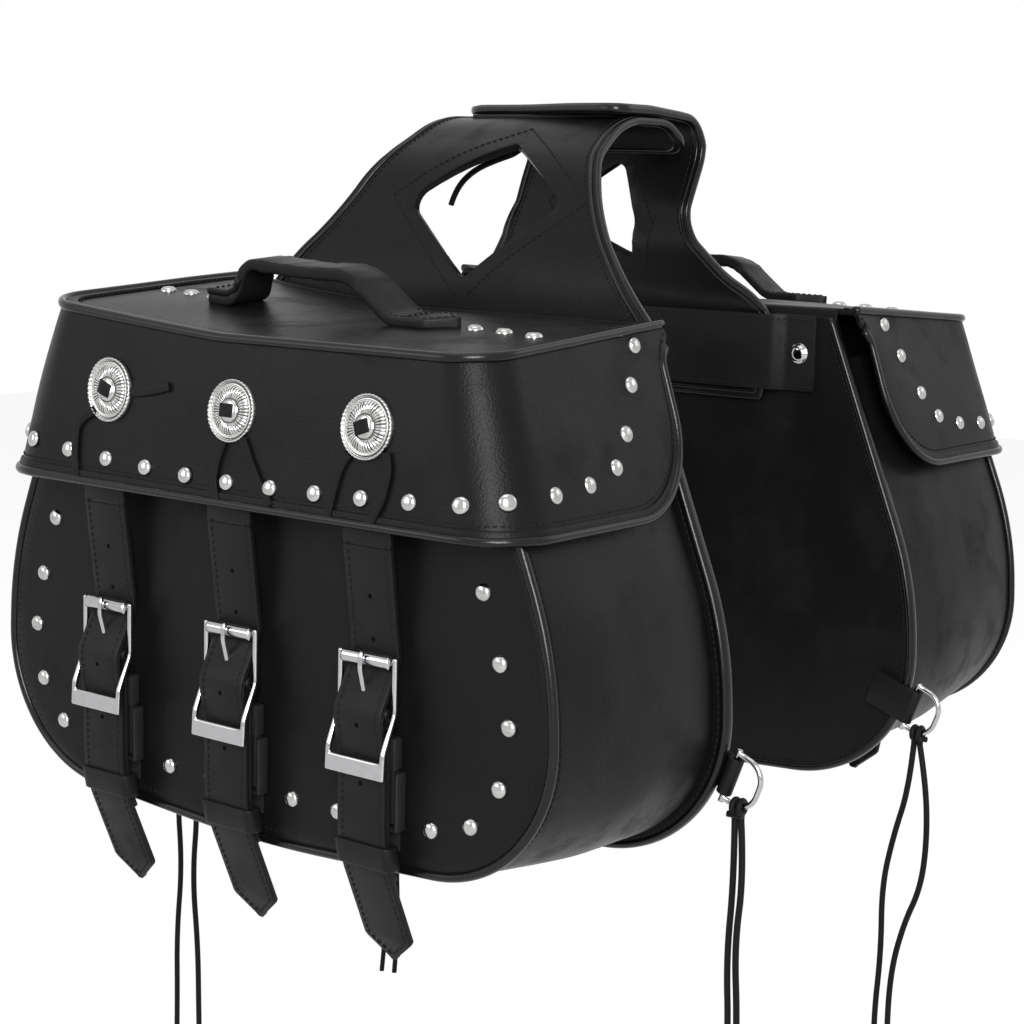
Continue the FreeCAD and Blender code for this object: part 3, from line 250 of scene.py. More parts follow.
leather = leatherMaterial("leather", 0.004, 0.007, 0.36, 950, 0.00018, 0.5, 0.10)
strapLeather = leatherMaterial("strapLeather", 0.005, 0.010, 0.42, 1300, 0.00014, 0.8, 0.12)
piping = leatherMaterial("piping", 0.003, 0.005, 0.2, 1500, 0.00005, 0.3, 0.26, 0.1)
laceLeather = leatherMaterial("laceLeather", 0.004, 0.009, 0.5, 2200, 0.00012, 1.2, 0.1)
chrome = metalMaterial("chrome", 220.0, 0.16, (0.42, 0.42, 0.43), (0.24, 0.24, 0.24), (0.09, 1.0))
agedChrome = metalMaterial("agedChrome", 150.0, 0.45, (0.46, 0.46, 0.45), (0.16, 0.16, 0.15), (0.16, 0.2))
clipPlastic = plasticMaterial()
# Near-black material for the conchos' flute valleys and grooves: painted shade in their recesses
blackened = leatherMaterial("blackened", 0.02, 0.05, 0.3, 1800, 0.00005, 0.3, 0.4)
webbing = clothMaterial("webbing", grey(0.006), grey(0.018), 0.0018)
tape = clothMaterial("tape", grey(0.010), grey(0.030), 0.0009)
lining = clothMaterial("lining", (0.012, 0.012, 0.013), (0.03, 0.03, 0.032), 0.0014)
thread = clothMaterial("thread", grey(0.004), grey(0.014), 0.0006)
print("materials made")


# Laces and the tie: routes as (forward, left, up) in metres from where each strand leaves its hitch

lace = {"start": (0.207753, 0.1002, -0.358753), "thick": 0.0036, "apart": 0.00195}
laceRoutes = {
    "right_front": (
        ((0, 0, 0), (.0006, .0005, -.034), (-.0018, 0, -.076), (.0008, .001, -.121), (-.0006, -.0015, -.168),
         (.0024, .0005, -.214), (.0008, .001, -.252)),
        ((0, 0, 0), (.0026, .0005, -.030), (-.0004, -.001, -.068), (.0022, .0005, -.110),
         (.0012, .002, -.158), (.0048, 0, -.206), (.0086, .0015, -.246))),
    "right_rear": (
        ((0, 0, 0), (-.002, .001, -.032), (-.0065, -.001, -.074), (-.005, .0015, -.120), (-.0085, 0, -.166),
         (-.006, -.002, -.212), (-.009, 0, -.250)),
        ((0, 0, 0), (.0018, 0, -.034), (.0055, .002, -.078), (.003, -.0005, -.124), (.0065, .001, -.172),
         (.005, .003, -.216), (.008, .001, -.255))),
    "left_front": (
        ((0, 0, 0), (-.0016, -.0005, -.028), (-.0095, -.0015, -.058), (-.0164, 0, -.092),
         (-.0152, .001, -.134), (-.017, -.001, -.178), (-.015, .0005, -.222), (-.0175, .001, -.260)),
        ((0, 0, 0), (.0054, .0005, -.025), (.0082, -.0005, -.058), (.0052, .0005, -.088),
         (-.006, .003, -.114), (-.0126, .002, -.146), (-.012, 0, -.188), (-.0094, .002, -.230),
          (-.0116, .001, -.266))),
    "left_rear": (
        ((0, 0, 0), (-.0012, -.001, -.033), (-.004, .001, -.076), (-.0015, -.0005, -.122),
         (-.0048, .001, -.168), (-.003, .0025, -.213), (-.006, .001, -.251)),
        ((0, 0, 0), (.0022, .0005, -.031), (.0006, -.0015, -.072), (.004, 0, -.118), (.0025, .0015, -.164),
         (.0062, 0, -.210), (.0045, -.0015, -.248)))}
tieRoute = ((.002, -.0286, -.010), (-.0035, -.029, -.0155), (-.0174, -.029, -.0192), (-.0324, -.030, -.0246),
            (-.0429, -.031, -.0319), (-.0505, -.030, -.0409), (-.0527, -.030, -.0468))

def nurbsCord(name, points, thick, material):
    curve = bpy.data.curves.new(name, "CURVE")
    curve.dimensions = "3D"
    curve.bevel_depth = thick / 2
    curve.bevel_resolution = 3
    curve.use_fill_caps = True
    curve.resolution_u = 10
    spline = curve.splines.new("NURBS")
    spline.points.add(len(points) - 1)
    for point, place in zip(spline.points, points):
        point.co = (*place, 1)
    spline.order_u = 3
    spline.use_endpoint_u = True
    curve.materials.append(material)
    return added(name, curve)

def hang(name, points, body, node):
    cord = nurbsCord(name, points, lace["thick"], laceLeather)
    fit(cord, body, "lace", node)

for spot, strands in laceRoutes.items():
    side, end = spot.split("_")
    for number, (route, step) in enumerate(zip(strands, (-1, 1))):
        start = Vector(((1 if end == "front" else -1) * lace["start"][0] + step * lace["apart"],
                        (-1 if side == "right" else 1) * lace["start"][1], lace["start"][2]))
        points = [tuple(start + Vector(p)) for p in route]
        hang(f"{side}LaceStrand{end.capitalize()}{number}", points, f"{side}_ring_{end}_set",
             f"{side}_lace_{end}")
hang("tieLace", tieRoute, "right_bag", "yoke_tie_lace")
print("laces hung")


# Mesh helpers. Bag coordinates are (along, out from the back panel, up from the lid's rear edge),
# in millimetres

def link(name, mesh, material, smooth=True):
    mesh.materials.append(material)
    if smooth:
        mesh.shade_smooth()
    return added(name, mesh)

def toPlace(points, side):
    points = np.asarray(points, float) * mm
    sign = -1 if side == "right" else 1
    return np.stack([points[:, 0], sign * (backFace + points[:, 1]), points[:, 2] + lidRear], axis=1)

# A place in the frame as bag coordinates
def inBag(place):
    return np.array((place[0] / mm, abs(place[1]) / mm - backFace / mm, (place[2] - lidRear) / mm))

# The lid's stiffened leather has taken a set: its rear end lifts a little and its top is crowned
lidSet = {"lift": 12.5, "from": -15, "reach": 137, "crown": 4.6, "half": 154, "depth": 158}

def lidRise(points):
    x, depth, level = np.asarray(points, float).T
    share = np.clip((lidSet["from"] - x) / lidSet["reach"], 0, 1.1) ** 1.15
    across = np.clip(1 - (np.abs(x) / lidSet["half"]) ** 4, 0, 1)
    along = np.clip(np.sin(math.pi * np.clip((depth - 3.5) / lidSet["depth"], 0, 1)), 0, 1) ** 0.8
    return (lidSet["lift"] * share * np.clip(1 + level / 100, 0, 1)
            + lidSet["crown"] * across * along * np.clip(1 + level / 30, 0, 1))

def onLid(points, side):
    points = np.array(points, float)
    points[:, 2] += lidRise(points)
    return toPlace(points, side)

def meshFrom(name, points, faces):
    mesh = bpy.data.meshes.new(name)
    mesh.from_pydata([tuple(p) for p in points], [], [tuple(int(i) for i in f) for f in faces])
    return mesh

def outward(mesh, merge=0.00002):
    work = bmesh.new()
    work.from_mesh(mesh)
    bmesh.ops.remove_doubles(work, verts=work.verts, dist=merge)
    bmesh.ops.recalc_face_normals(work, faces=work.faces)
    work.to_mesh(mesh)
    work.free()

# An open sheet's faces turn away from a point behind it
def faceAway(mesh, inner):
    total = sum(face.area * face.normal.dot(face.center - inner) for face in mesh.polygons)
    if total < 0:
        mesh.flip_normals()

def baked(obj):
    graph = bpy.context.evaluated_depsgraph_get()
    mesh = bpy.data.meshes.new_from_object(obj.evaluated_get(graph))
    obj.modifiers.clear()
    old = obj.data
    obj.data = mesh
    bpy.data.meshes.remove(old)
    return obj

def bevelled(obj, width, angle):
    edge = obj.modifiers.new("edge", "BEVEL")
    edge.width = width
    edge.segments = 2
    edge.angle_limit = angle

# An open sheet gets its wall, soft edges and, where a level is given, a subdivided surface
def thicken(obj, thick, bevel, offset=-1.0, level=0):
    wall = obj.modifiers.new("wall", "SOLIDIFY")
    wall.thickness = thick
    wall.offset = offset
    wall.use_even_offset = True
    bevelled(obj, bevel, 0.6)
    if level:
        smooth = obj.modifiers.new("smooth", "SUBSURF")
        smooth.levels = smooth.render_levels = level
    return baked(obj)

def merged(parts):
    points, faces = [], []
    for p, f in parts:
        base = sum(len(x) for x in points)
        points.append(np.asarray(p, float))
        faces += [tuple(i + base for i in face) for face in f]
    return np.concatenate(points), faces

def gridFaces(rows, columns, wrapRows=False, wrapColumns=False):
    faces = []
    for i in range(rows if wrapRows else rows - 1):
        for j in range(columns if wrapColumns else columns - 1):
            a, b = i * columns + j, i * columns + (j + 1) % columns
            c, d = ((i + 1) % rows) * columns + (j + 1) % columns, ((i + 1) % rows) * columns + j
            faces.append((a, b, c, d))
    return faces

# Corners (x, y[, radius]) to points: straight runs joined by round corners
def rounded(corners, closed, step):
    corners = [tuple(c) + (0,) * (3 - len(c)) for c in corners]
    count = len(corners)
    out = []
    for i, (x, y, radius) in enumerate(corners):
        here = np.array((x, y), float)
        if not radius or (not closed and i in (0, count - 1)):
            out.append(here)
            continue
        before = np.array(corners[i - 1][:2], float) - here
        after = np.array(corners[(i + 1) % count][:2], float) - here
        before /= np.linalg.norm(before)
        after /= np.linalg.norm(after)
        half = math.acos(max(-1, min(1, before @ after))) / 2
        bisector = (before + after) / np.linalg.norm(before + after)
        middle = here + bisector * radius / math.sin(half)
        start = here + before * radius / math.tan(half) - middle
        end = here + after * radius / math.tan(half) - middle
        a0, a1 = math.atan2(start[1], start[0]), math.atan2(end[1], end[0])
        turn = (a1 - a0 + math.pi) % math.tau - math.pi
        pieces = max(2, int(abs(turn) * radius / step) + 1)
        for k in range(pieces + 1):
            a = a0 + turn * k / pieces
            out.append(middle + radius * np.array((math.cos(a), math.sin(a))))
    return np.array(out)

def distances(line):
    return np.concatenate([[0], np.cumsum(np.linalg.norm(np.diff(line, axis=0), axis=1))])

def resampled(points, step=None, count=None, closed=False):
    points = np.asarray(points, float)
    if closed:
        points = np.concatenate([points, points[:1]])
    lengths = distances(points)
    keep = np.concatenate([[True], np.diff(lengths) > 1e-9])
    points, lengths = points[keep], lengths[keep]
    count = count or max(3, int(round(lengths[-1] / step)) + 1)
    at = np.linspace(0, lengths[-1], count + (1 if closed else 0))
    if closed:
        at = at[:-1]
    return np.stack([np.interp(at, lengths, points[:, k]) for k in range(points.shape[1])], axis=1)

def tangents(points, closed=False):
    if closed:
        ahead = np.roll(points, -1, axis=0) - np.roll(points, 1, axis=0)
    else:
        ahead = np.gradient(points, axis=0)
    return ahead / np.linalg.norm(ahead, axis=1)[:, None]

# A section (across, above) carried along a line; up is the direction that "above" keeps to
def swept(line, section, up, closed=False, scale=None):
    line = np.asarray(line, float)
    section = np.asarray(section, float)
    along = tangents(line, closed)
    up = np.broadcast_to(np.asarray(up, float), line.shape)
    across = np.cross(along, up)
    across /= np.linalg.norm(across, axis=1)[:, None]
    above = np.cross(across, along)
    scale = np.ones((len(line), 2)) if scale is None else np.asarray(scale, float)
    points = (line[:, None] + across[:, None] * (section[None, :, 0] * scale[:, :1])[..., None]
              + above[:, None] * (section[None, :, 1] * scale[:, 1:])[..., None])
    rows, columns = points.shape[:2]
    faces = gridFaces(rows, columns, closed, True)
    if not closed:
        faces.append(tuple(range(columns)))
        faces.append(tuple((rows - 1) * columns + k for k in reversed(range(columns))))
    return points.reshape(-1, 3), faces

def ringSection(radius, sides, flat=1.0):
    turns = np.linspace(0, math.tau, sides, endpoint=False)
    return np.stack([radius * np.cos(turns), radius * flat * np.sin(turns)], axis=1)

def boxCorners(wide, high, radius):
    return [(u * wide / 2, v * high / 2, radius) for u, v in ((-1, -1), (1, -1), (1, 1), (-1, 1))]

def slabSection(wide, thick, edge, steps=3):
    return rounded(boxCorners(wide, thick, edge), True, edge * 1.6 / steps)

# One geometry for both bags: the left piece is the right one's mirror image
def bothSides(name, points, faces, material, body, slot, nodes=(), wall=None, inner=None):
    made = []
    place = onLid if body == "lid" else toPlace
    for side in ("right", "left"):
        mesh = meshFrom(side + name, place(points, side), faces)
        outward(mesh)
        if inner is not None:
            faceAway(mesh, Vector(place([inner], side)[0]))
        obj = link(side + name, mesh, material)
        if wall:
            thicken(obj, **wall)
        made.append(fit(obj, body and f"{side}_{body}", slot, *[f"{side}_{node}" for node in nodes]))
    return made

# Slow uneven swells, as stiffened leather has
def swell(points, amount, size, seed):
    shift = Vector((seed * 7.1, seed * 3.3, seed * 5.7))
    return np.array([noise.noise(Vector(p) / size + shift) for p in points]) * amount


# Repeats by Geometry Nodes: stitches along a line, and studs on points that face outwards

def newTree(name, *inputs):
    tree = bpy.data.node_groups.new(name, "GeometryNodeTree")
    tree.interface.new_socket("Geometry", in_out="INPUT", socket_type="NodeSocketGeometry")
    tree.interface.new_socket("Geometry", in_out="OUTPUT", socket_type="NodeSocketGeometry")
    for label, kind, default in inputs:
        socket = tree.interface.new_socket(label, in_out="INPUT", socket_type=kind)
        if default is not None:
            socket.default_value = default
    return tree, tree.nodes.new("NodeGroupInput"), tree.nodes.new("NodeGroupOutput")

def finishTree(tree, given, out, instances):
    real = addNode(tree, "GeometryNodeRealizeInstances", {0: instances}).outputs[0]
    paint = addNode(tree, "GeometryNodeSetMaterial",
                    {"Geometry": real, "Material": given.outputs["Material"]})
    tree.links.new(paint.outputs[0], out.inputs[0])

# Each input edge line becomes a row of stitches: flattened six-sided pellets that dip at both ends
def buildStitchTree():
    tree, given, out = newTree("stitchRow", ("Pitch", "NodeSocketFloat", 0.003),
                               ("Length", "NodeSocketFloat", 0.002), ("Thickness", "NodeSocketFloat", 0.0006),
                               ("Material", "NodeSocketMaterial", None))
    line = addNode(tree, "GeometryNodeMeshToCurve", {"Mesh": given.outputs["Geometry"]}).outputs[0]
    spread = addNode(tree, "GeometryNodeCurveToPoints", {"Curve": line, "Length": given.outputs["Pitch"]},
                     mode="LENGTH").outputs
    pellet = addNode(tree, "GeometryNodeMeshUVSphere", {"Segments": 6, "Rings": 5, "Radius": 0.5})
    thick = given.outputs["Thickness"]
    size = addNode(tree, "ShaderNodeCombineXYZ", {"X": thick, "Y": thick, "Z": given.outputs["Length"]})
    shape = addNode(tree, "GeometryNodeTransform",
                    {"Geometry": pellet.outputs["Mesh"], "Scale": size.outputs[0]}).outputs[0]
    put = addNode(tree, "GeometryNodeInstanceOnPoints",
                  {"Points": spread["Points"], "Instance": shape, "Rotation": spread["Rotation"]})
    finishTree(tree, given, out, put.outputs[0])
    return tree

# Studs: a low rim and a dome with a flattened top, turned to each point's facing
def buildStudTree():
    tree, given, out = newTree("domeStuds", ("Radius", "NodeSocketFloat", 0.0048),
                               ("Height", "NodeSocketFloat", 0.0034),
                               ("Material", "NodeSocketMaterial", None))
    dome = addNode(tree, "GeometryNodeMeshUVSphere", {"Segments": 18, "Rings": 9, "Radius": 1})
    place = addNode(tree, "GeometryNodeInputPosition").outputs[0]
    parts = addNode(tree, "ShaderNodeSeparateXYZ", {0: place}).outputs
    lifted = mathNode(tree, "MAXIMUM", parts["Z"], -0.12)          # a flat seat
    pressed = mathNode(tree, "SMOOTH_MIN", lifted, 0.86, 0.25)     # a pressed, flattened crown
    whole = {axis: mathNode(tree, "MULTIPLY", parts[axis], given.outputs["Radius"]) for axis in "XY"}
    whole["Z"] = mathNode(tree, "MULTIPLY", pressed, given.outputs["Height"])
    moved = addNode(tree, "GeometryNodeSetPosition",
                    {"Geometry": dome.outputs["Mesh"],
                     "Position": addNode(tree, "ShaderNodeCombineXYZ", whole).outputs[0]})
    smooth = addNode(tree, "GeometryNodeSetShadeSmooth", {"Geometry": moved.outputs[0]}).outputs[0]
    facing = addNode(tree, "GeometryNodeInputNamedAttribute", {"Name": "facing"}, data_type="FLOAT_VECTOR")
    turned = addNode(tree, "FunctionNodeAlignRotationToVector", {"Vector": facing.outputs["Attribute"]},
                     axis="Z").outputs[0]
    put = addNode(tree, "GeometryNodeInstanceOnPoints",
                  {"Points": given.outputs["Geometry"], "Instance": smooth, "Rotation": turned})
    finishTree(tree, given, out, put.outputs[0])
    return tree

stitchTree = buildStitchTree()
studTree = buildStudTree()

def grown(obj, tree, **values):
    step = obj.modifiers.new("grow", "NODES")
    step.node_group = tree
    ids = {item.name: item.identifier for item in tree.interface.items_tree if item.in_out == "INPUT"}
    for label, value in values.items():
        step[ids[label]] = value
    return baked(obj)

stitch = {"pitch": 0.0037, "length": 0.0028, "thick": 0.00095}

def stitchRows(name, lines, body, slot, place=toPlace, sides=("right", "left")):
    place = onLid if body == "lid" else place
    for side in sides:
        points, edges = [], []
        for line in lines:
            base = len(points)
            points += [tuple(p) for p in place(line, side)]
            edges += [(base + i, base + i + 1) for i in range(len(line) - 1)]
        mesh = bpy.data.meshes.new(side + name)
        mesh.from_pydata(points, edges, [])
        obj = grown(added(side + name, mesh), stitchTree, Pitch=stitch["pitch"], Length=stitch["length"],
                    Thickness=stitch["thick"], Material=thread)
        obj.data.shade_smooth()
        fit(obj, f"{side}_{body}", slot)

# Loose pieces of a CAD node, each as its points and unit normals
def islands(node):
    work = bmesh.new()
    work.from_mesh(frame["nodes"][node].data)
    bmesh.ops.remove_doubles(work, verts=work.verts, dist=0.00001)
    found, seen = [], set()
    for start in work.verts:
        if start in seen:
            continue
        seen.add(start)
        group, queue = [], [start]
        while queue:
            vert = queue.pop()
            group.append(vert)
            for edge in vert.link_edges:
                other = edge.other_vert(vert)
                if other not in seen:
                    seen.add(other)
                    queue.append(other)
        faces = {face for vert in group for face in vert.link_faces}
        found.append((np.array([v.co[:] for v in group]),
                      [(np.array(f.normal), f.calc_area(), np.array(f.calc_center_median())) for f in faces]))
    work.free()
    return found

# Where a stud sits: the middle of its flat seat, and the way it faces
def seats(node):
    found = []
    for _, faces in islands(node):
        normal, _, middle = max(groupFlat(faces), key=lambda item: item[1])
        found.append((middle, -normal))
    return found

def groupFlat(faces):
    flats = []
    for normal, area, middle in faces:
        for flat in flats:
            if flat[0] @ normal > 0.9995:
                flat[2] = (flat[2] * flat[1] + middle * area) / (flat[1] + area)
                flat[1] += area
                break
        else:
            flats.append([normal, area, middle])
    return flats

def addStuds(name, node, body):
    for side in ("right", "left"):
        spots = seats(f"{side}_{node}")
        if body == "lid":
            rises = lidRise([inBag(middle) for middle, _ in spots])
            spots = [(middle + (0, 0, rise * mm), way) for (middle, way), rise in zip(spots, rises)]
        mesh = bpy.data.meshes.new(side + name)
        mesh.from_pydata([tuple(middle) for middle, _ in spots], [], [])
        facing = mesh.attributes.new("facing", "FLOAT_VECTOR", "POINT")
        for item, (_, way) in zip(facing.data, spots):
            item.vector = way
        obj = grown(added(side + name, mesh), studTree, Material=agedChrome)
        fit(obj, f"{side}_{body}", "chrome", f"{side}_{node}")

addStuds("FrontStuds", "front_studs", "bag")
addStuds("LidStuds", "lid_studs", "lid")
print("studs set")


# Bag: front panel, gusset, back panel, welts

bag = {"depth": 150, "shoulder": (126, 20), "belly": (193, -146, 200), "base": (199, -262, 76),
       "keel": (-274, 900), "centre": (0, -150), "backDrop": 13, "mouth": -18, "backMouth": -6.5,
       "backThick": 6, "flange": 6, "weltRadius": 2.6, "weltDepth": 147.2, "binding": (2.6, 4.3)}

# The bag's outline seen from the front, from one end of the mouth round the keel to the other
def bagOutline(lower=0.0, mouth=None, step=5.0, proud=0.0):
    mouth = bag["mouth"] if mouth is None else mouth
    (sx, sz), (bx, bz, br) = bag["shoulder"], bag["belly"]
    top = sx + (bx - sx) * (sz - lower - mouth) / (sz - bz)
    half = [(top, mouth), (bx, bz - lower, br), (bag["base"][0], bag["base"][1] - lower, bag["base"][2])]
    corners = half + [(0, bag["keel"][0] - lower, bag["keel"][1])] + [(-x, *rest) for x, *rest in half[::-1]]
    return shifted(resampled(rounded(corners, False, 2.0), step), proud)

def outlineNormals(line, closed=False):
    along = tangents(line, closed)
    return np.stack([-along[:, 1], along[:, 0]], axis=1)

def shifted(line, amount):
    return line + amount * outlineNormals(line)

def withDepth(line, depth):
    return np.stack([line[:, 0], np.full(len(line), float(depth)), line[:, 1]], axis=1)

def dropAt(depth):
    return bag["backDrop"] * (1 - depth / bag["depth"])

# A flat panel from its outline inwards, its edge rolled over and its face slightly uneven
def panelMesh(line, face, roll, reach, swellBy, seed, sign=1.0):
    closed = np.concatenate([line, resampled(np.array([line[-1], line[0]]), count=40)[1:-1]])
    shares = [0, .006, .014, .026, .045, .07, .11, .17, .25, .35, .47, .6, .74, .88]
    centre = np.array(bag["centre"], float)
    rings = []
    for share in shares:
        ring = centre + (closed - centre) * (1 - share)
        gap = np.linalg.norm(closed - ring, axis=1)
        depth = face - sign * roll * np.clip(1 - gap / reach, 0, 1) ** 2
        rings.append(np.stack([ring[:, 0], depth, ring[:, 1]], axis=1))
    points = np.concatenate(rings + [[[centre[0], face, centre[1]]]])
    inside = np.repeat(shares + [1.0], len(closed))[:len(points)]
    points[:, 1] += swell(points, swellBy, 90, seed) * np.clip(inside * 8, 0, 1)
    count = len(closed)
    faces = gridFaces(len(shares), count, False, True)
    last = (len(shares) - 1) * count
    faces += [(last + i, last + (i + 1) % count, len(points) - 1) for i in range(count)]
    return points, faces

frontSheet = panelMesh(bagOutline(), bag["depth"] + 0.1, 3.2, 9, swellBy=0.8, seed=2)
bothSides("FrontPanel", *frontSheet, leather, "bag", "leather", ["front_panel"],
          {"thick": 0.003, "bevel": 0.0004}, (0, -400, -150))
frontSeam = withDepth(bagOutline(proud=-6.5, step=2), bag["depth"] - 0.35)
stitchRows("PanelStitches", [frontSeam], "bag", "leather")

# Gusset: a sheared band that bellies out between the seams and creases softly round its corners
gusset = {"front": 148.6, "back": 5.4, "columns": 34, "belly": 3.2, "seamDip": 2.4, "seamReach": 7}

def gussetPoint(line, depth):
    share = (depth - gusset["back"]) / (gusset["front"] - gusset["back"])
    normals = outlineNormals(line)
    edge = min(depth - gusset["back"], gusset["front"] - depth)
    out = gusset["belly"] * math.sin(math.pi * share) ** 0.8
    out -= gusset["seamDip"] * max(0.0, 1 - edge / gusset["seamReach"]) ** 2
    flat = line + normals * out - np.array([0, dropAt(depth)])
    return np.stack([flat[:, 0], np.full(len(flat), depth), flat[:, 1]], axis=1), normals

def gussetMesh():
    line = bagOutline()
    edges = 0.5 - 0.5 * np.cos(np.linspace(0, math.pi, gusset["columns"]))
    columns = []
    shares = 0.35 * edges + 0.65 * np.linspace(0, 1, len(edges))
    for depth in gusset["back"] + (gusset["front"] - gusset["back"]) * shares:
        column, normals = gussetPoint(line, depth)
        middle = math.sin(math.pi * (depth - gusset["back"]) / (gusset["front"] - gusset["back"]))
        wave = swell(column, 2.2, 75, 5) + swell(column, 0.7, 28, 9)
        column[:, [0, 2]] += normals * (wave * middle)[:, None]
        columns.append(column)
    points = np.concatenate(columns)
    return points, gridFaces(len(columns), len(line))

bothSides("Gusset", *gussetMesh(), leather, "bag", "leather", ["gusset"],
          {"thick": 0.0026, "bevel": 0.0003, "level": 1}, (0, 75, -140))

# Back panel: a stiff sheet with a bound edge
backLine = bagOutline(bag["backDrop"], bag["backMouth"], proud=bag["flange"])
backSheet = panelMesh(backLine, 0.4, 0, 5, swellBy=0.5, seed=4, sign=-1)
bothSides("BackPanel", *backSheet, leather, "bag", "leather", ["back_panel"],
          {"thick": 0.0052, "bevel": 0.0005}, (0, 600, -150))
weltLine = withDepth(bagOutline(step=4, proud=0.4), bag["weltDepth"])
welt = swept(weltLine, ringSection(bag["weltRadius"], 12), (0, 1, 0))
bothSides("FrontWelt", *welt, piping, "bag", "piping", ["seam_piping"])
bindLine = withDepth(bagOutline(bag["backDrop"], bag["backMouth"], 4, bag["flange"] - 1.2),
                     bag["backThick"] / 2)
binding = swept(bindLine, ringSection(1, 16) * bag["binding"], (0, 1, 0))
bothSides("BackBinding", *binding, piping, "bag", "piping", ["seam_piping"])
bindSeam = bagOutline(bag["backDrop"], bag["backMouth"], 2, bag["flange"] - 4.5)
stitchRows("BindingStitches", [withDepth(bindSeam, depth) for depth in (-0.15, bag["backThick"] + 0.1)],
           "bag", "piping")
stitchRows("GussetStitches", [gussetPoint(bagOutline(step=2), 141.5)[0]], "bag", "leather")
print("bag panels sewn")


# Lid: a sloping top over a flared skirt, both edges piped

lid = {"gap": 3.5, "slope": math.atan(11 / 158), "top": (151, 156, 158, 27), "hem": (191, 191, 173, 36),
       "flareLevel": -118, "sideHem": -92.7, "keel": -111, "keelRadius": 900, "keelRise": 23 / 231,
       "rearLap": -9, "rearDepth": 12, "rearRadius": 50, "rows": 26, "sideColumns": 44, "cornerColumns": 16,
       "frontColumns": 74, "pipe": 2.5, "hemPipe": 2.3}

# Half of a plan, from the rear of its right side round the corner to the middle of its front
def lidPlan(rearHalf, frontHalf, depth, radius):
    corner = np.array((frontHalf, depth - lid["gap"]))
    back = np.array((rearHalf - frontHalf, lid["gap"] - depth))
    back /= np.linalg.norm(back)
    half = math.acos(-back[0]) / 2
    reach = radius / math.tan(half)
    start = corner + back * reach
    end = corner - (reach, 0)
    middle = end - (0, radius)
    first = math.atan2(*(start - middle)[::-1])
    turns = first + (math.pi / 2 - first) * np.linspace(0, 1, lid["cornerColumns"] + 1)
    arc = middle + radius * np.stack([np.cos(turns), np.sin(turns)], axis=1)
    side = np.linspace((rearHalf, 0), arc[0], lid["sideColumns"] + 1)
    front = np.linspace(arc[-1], (0, depth - lid["gap"]), lid["frontColumns"] // 2 + 1)
    return side, arc, front

def onTop(plan):
    return np.stack([plan[..., 0], lid["gap"] + plan[..., 1] * math.cos(lid["slope"]),
                     -plan[..., 1] * math.sin(lid["slope"])], axis=-1)

def onFlare(plan):
    level = np.full(plan.shape[:-1], float(lid["flareLevel"]))
    return np.stack([plan[..., 0], lid["gap"] + plan[..., 1], level], axis=-1)

def keelLevel(x):
    x = abs(x)
    turn = math.atan(lid["keelRise"])
    radius = lid["keelRadius"]
    flat = radius * math.sin(turn)
    if x < flat:
        return lid["keel"] + radius * (1 / math.cos(turn) - 1) + radius - math.sqrt(radius ** 2 - x ** 2)
    return lid["keel"] + lid["keelRise"] * x

def columnEnd(top, low):
    shares = np.linspace(0, 1, 400)
    line = top + (low - top) * shares[:, None]
    past = [max(keelLevel(p[0]), lid["sideHem"]) > p[2] for p in line]
    return shares[past.index(True)]

def lidSkirt():
    topParts = [onTop(part) for part in lidPlan(*lid["top"])]
    lowParts = [onFlare(part) for part in lidPlan(*lid["hem"])]
    rows = np.linspace(0, 1, lid["rows"]) ** 0.92
    topSide, lowSide = topParts[0], lowParts[0]
    end = columnEnd(topSide[-1], lowSide[-1])
    last = topSide[-1] + (lowSide[-1] - topSide[-1]) * end
    edge = rounded([(lid["gap"], lid["rearLap"]), (lid["rearDepth"], lid["rearLap"] - 8, 9),
                    (lid["rearDepth"], lid["sideHem"], lid["rearRadius"]), (last[1], last[2])], False, 1.0)
    edge = resampled(edge, count=lid["sideColumns"] + 1)
    columns = []
    for number, (depth, level) in enumerate(edge):
        q, f = number / lid["sideColumns"], 0.5
        for _ in range(12):
            top = topSide[0] + (topSide[-1] - topSide[0]) * q
            low = lowSide[0] + (lowSide[-1] - lowSide[0]) * q
            f = (top[2] - level) / (top[2] - low[2])
            near = topSide[0][1] * (1 - f) + lowSide[0][1] * f
            far = topSide[-1][1] * (1 - f) + lowSide[-1][1] * f
            q = (depth - near) / (far - near)
        share = (number / lid["sideColumns"] * (1 - rows) + q * rows)[:, None]
        top = topSide[0] + (topSide[-1] - topSide[0]) * share
        low = lowSide[0] + (lowSide[-1] - lowSide[0]) * share
        columns.append(top + (low - top) * f * rows[:, None])
    for part in (1, 2):
        for top, low in list(zip(topParts[part], lowParts[part]))[1:]:
            columns.append(top + (low - top) * (columnEnd(top, low) * rows)[:, None])
    right = np.array(columns)
    left = right[-2::-1] * (-1, 1, 1)
    return np.concatenate([right, left])          # columns x rows x 3, right rear round to left rear

def gridNormals(grid):
    normals = np.cross(np.gradient(grid, axis=0), np.gradient(grid, axis=1))
    normals /= np.linalg.norm(normals, axis=2)[..., None]
    outwards = grid - (0, 60, -60)
    return normals * np.sign((normals * outwards).sum(axis=2))[..., None]

skirt = lidSkirt()
skirtNormals = gridNormals(skirt)
skirtRows = np.linspace(0, 1, lid["rows"])
fall = np.sin(math.pi * skirtRows) ** 0.7
dents = swell(skirt.reshape(-1, 3) * (1, 1, 0.45), 2.4, 46, 12).reshape(skirt.shape[:2])
skirtSoft = skirt + skirtNormals * ((0.9 + dents) * fall)[..., None]
bothSides("LidSkirt", skirtSoft.reshape(-1, 3), gridFaces(*skirt.shape[:2]), leather, "lid", "leather",
          ["lid_shell"], {"thick": 0.0026, "bevel": 0.0003, "level": 1}, (0, 70, -60))

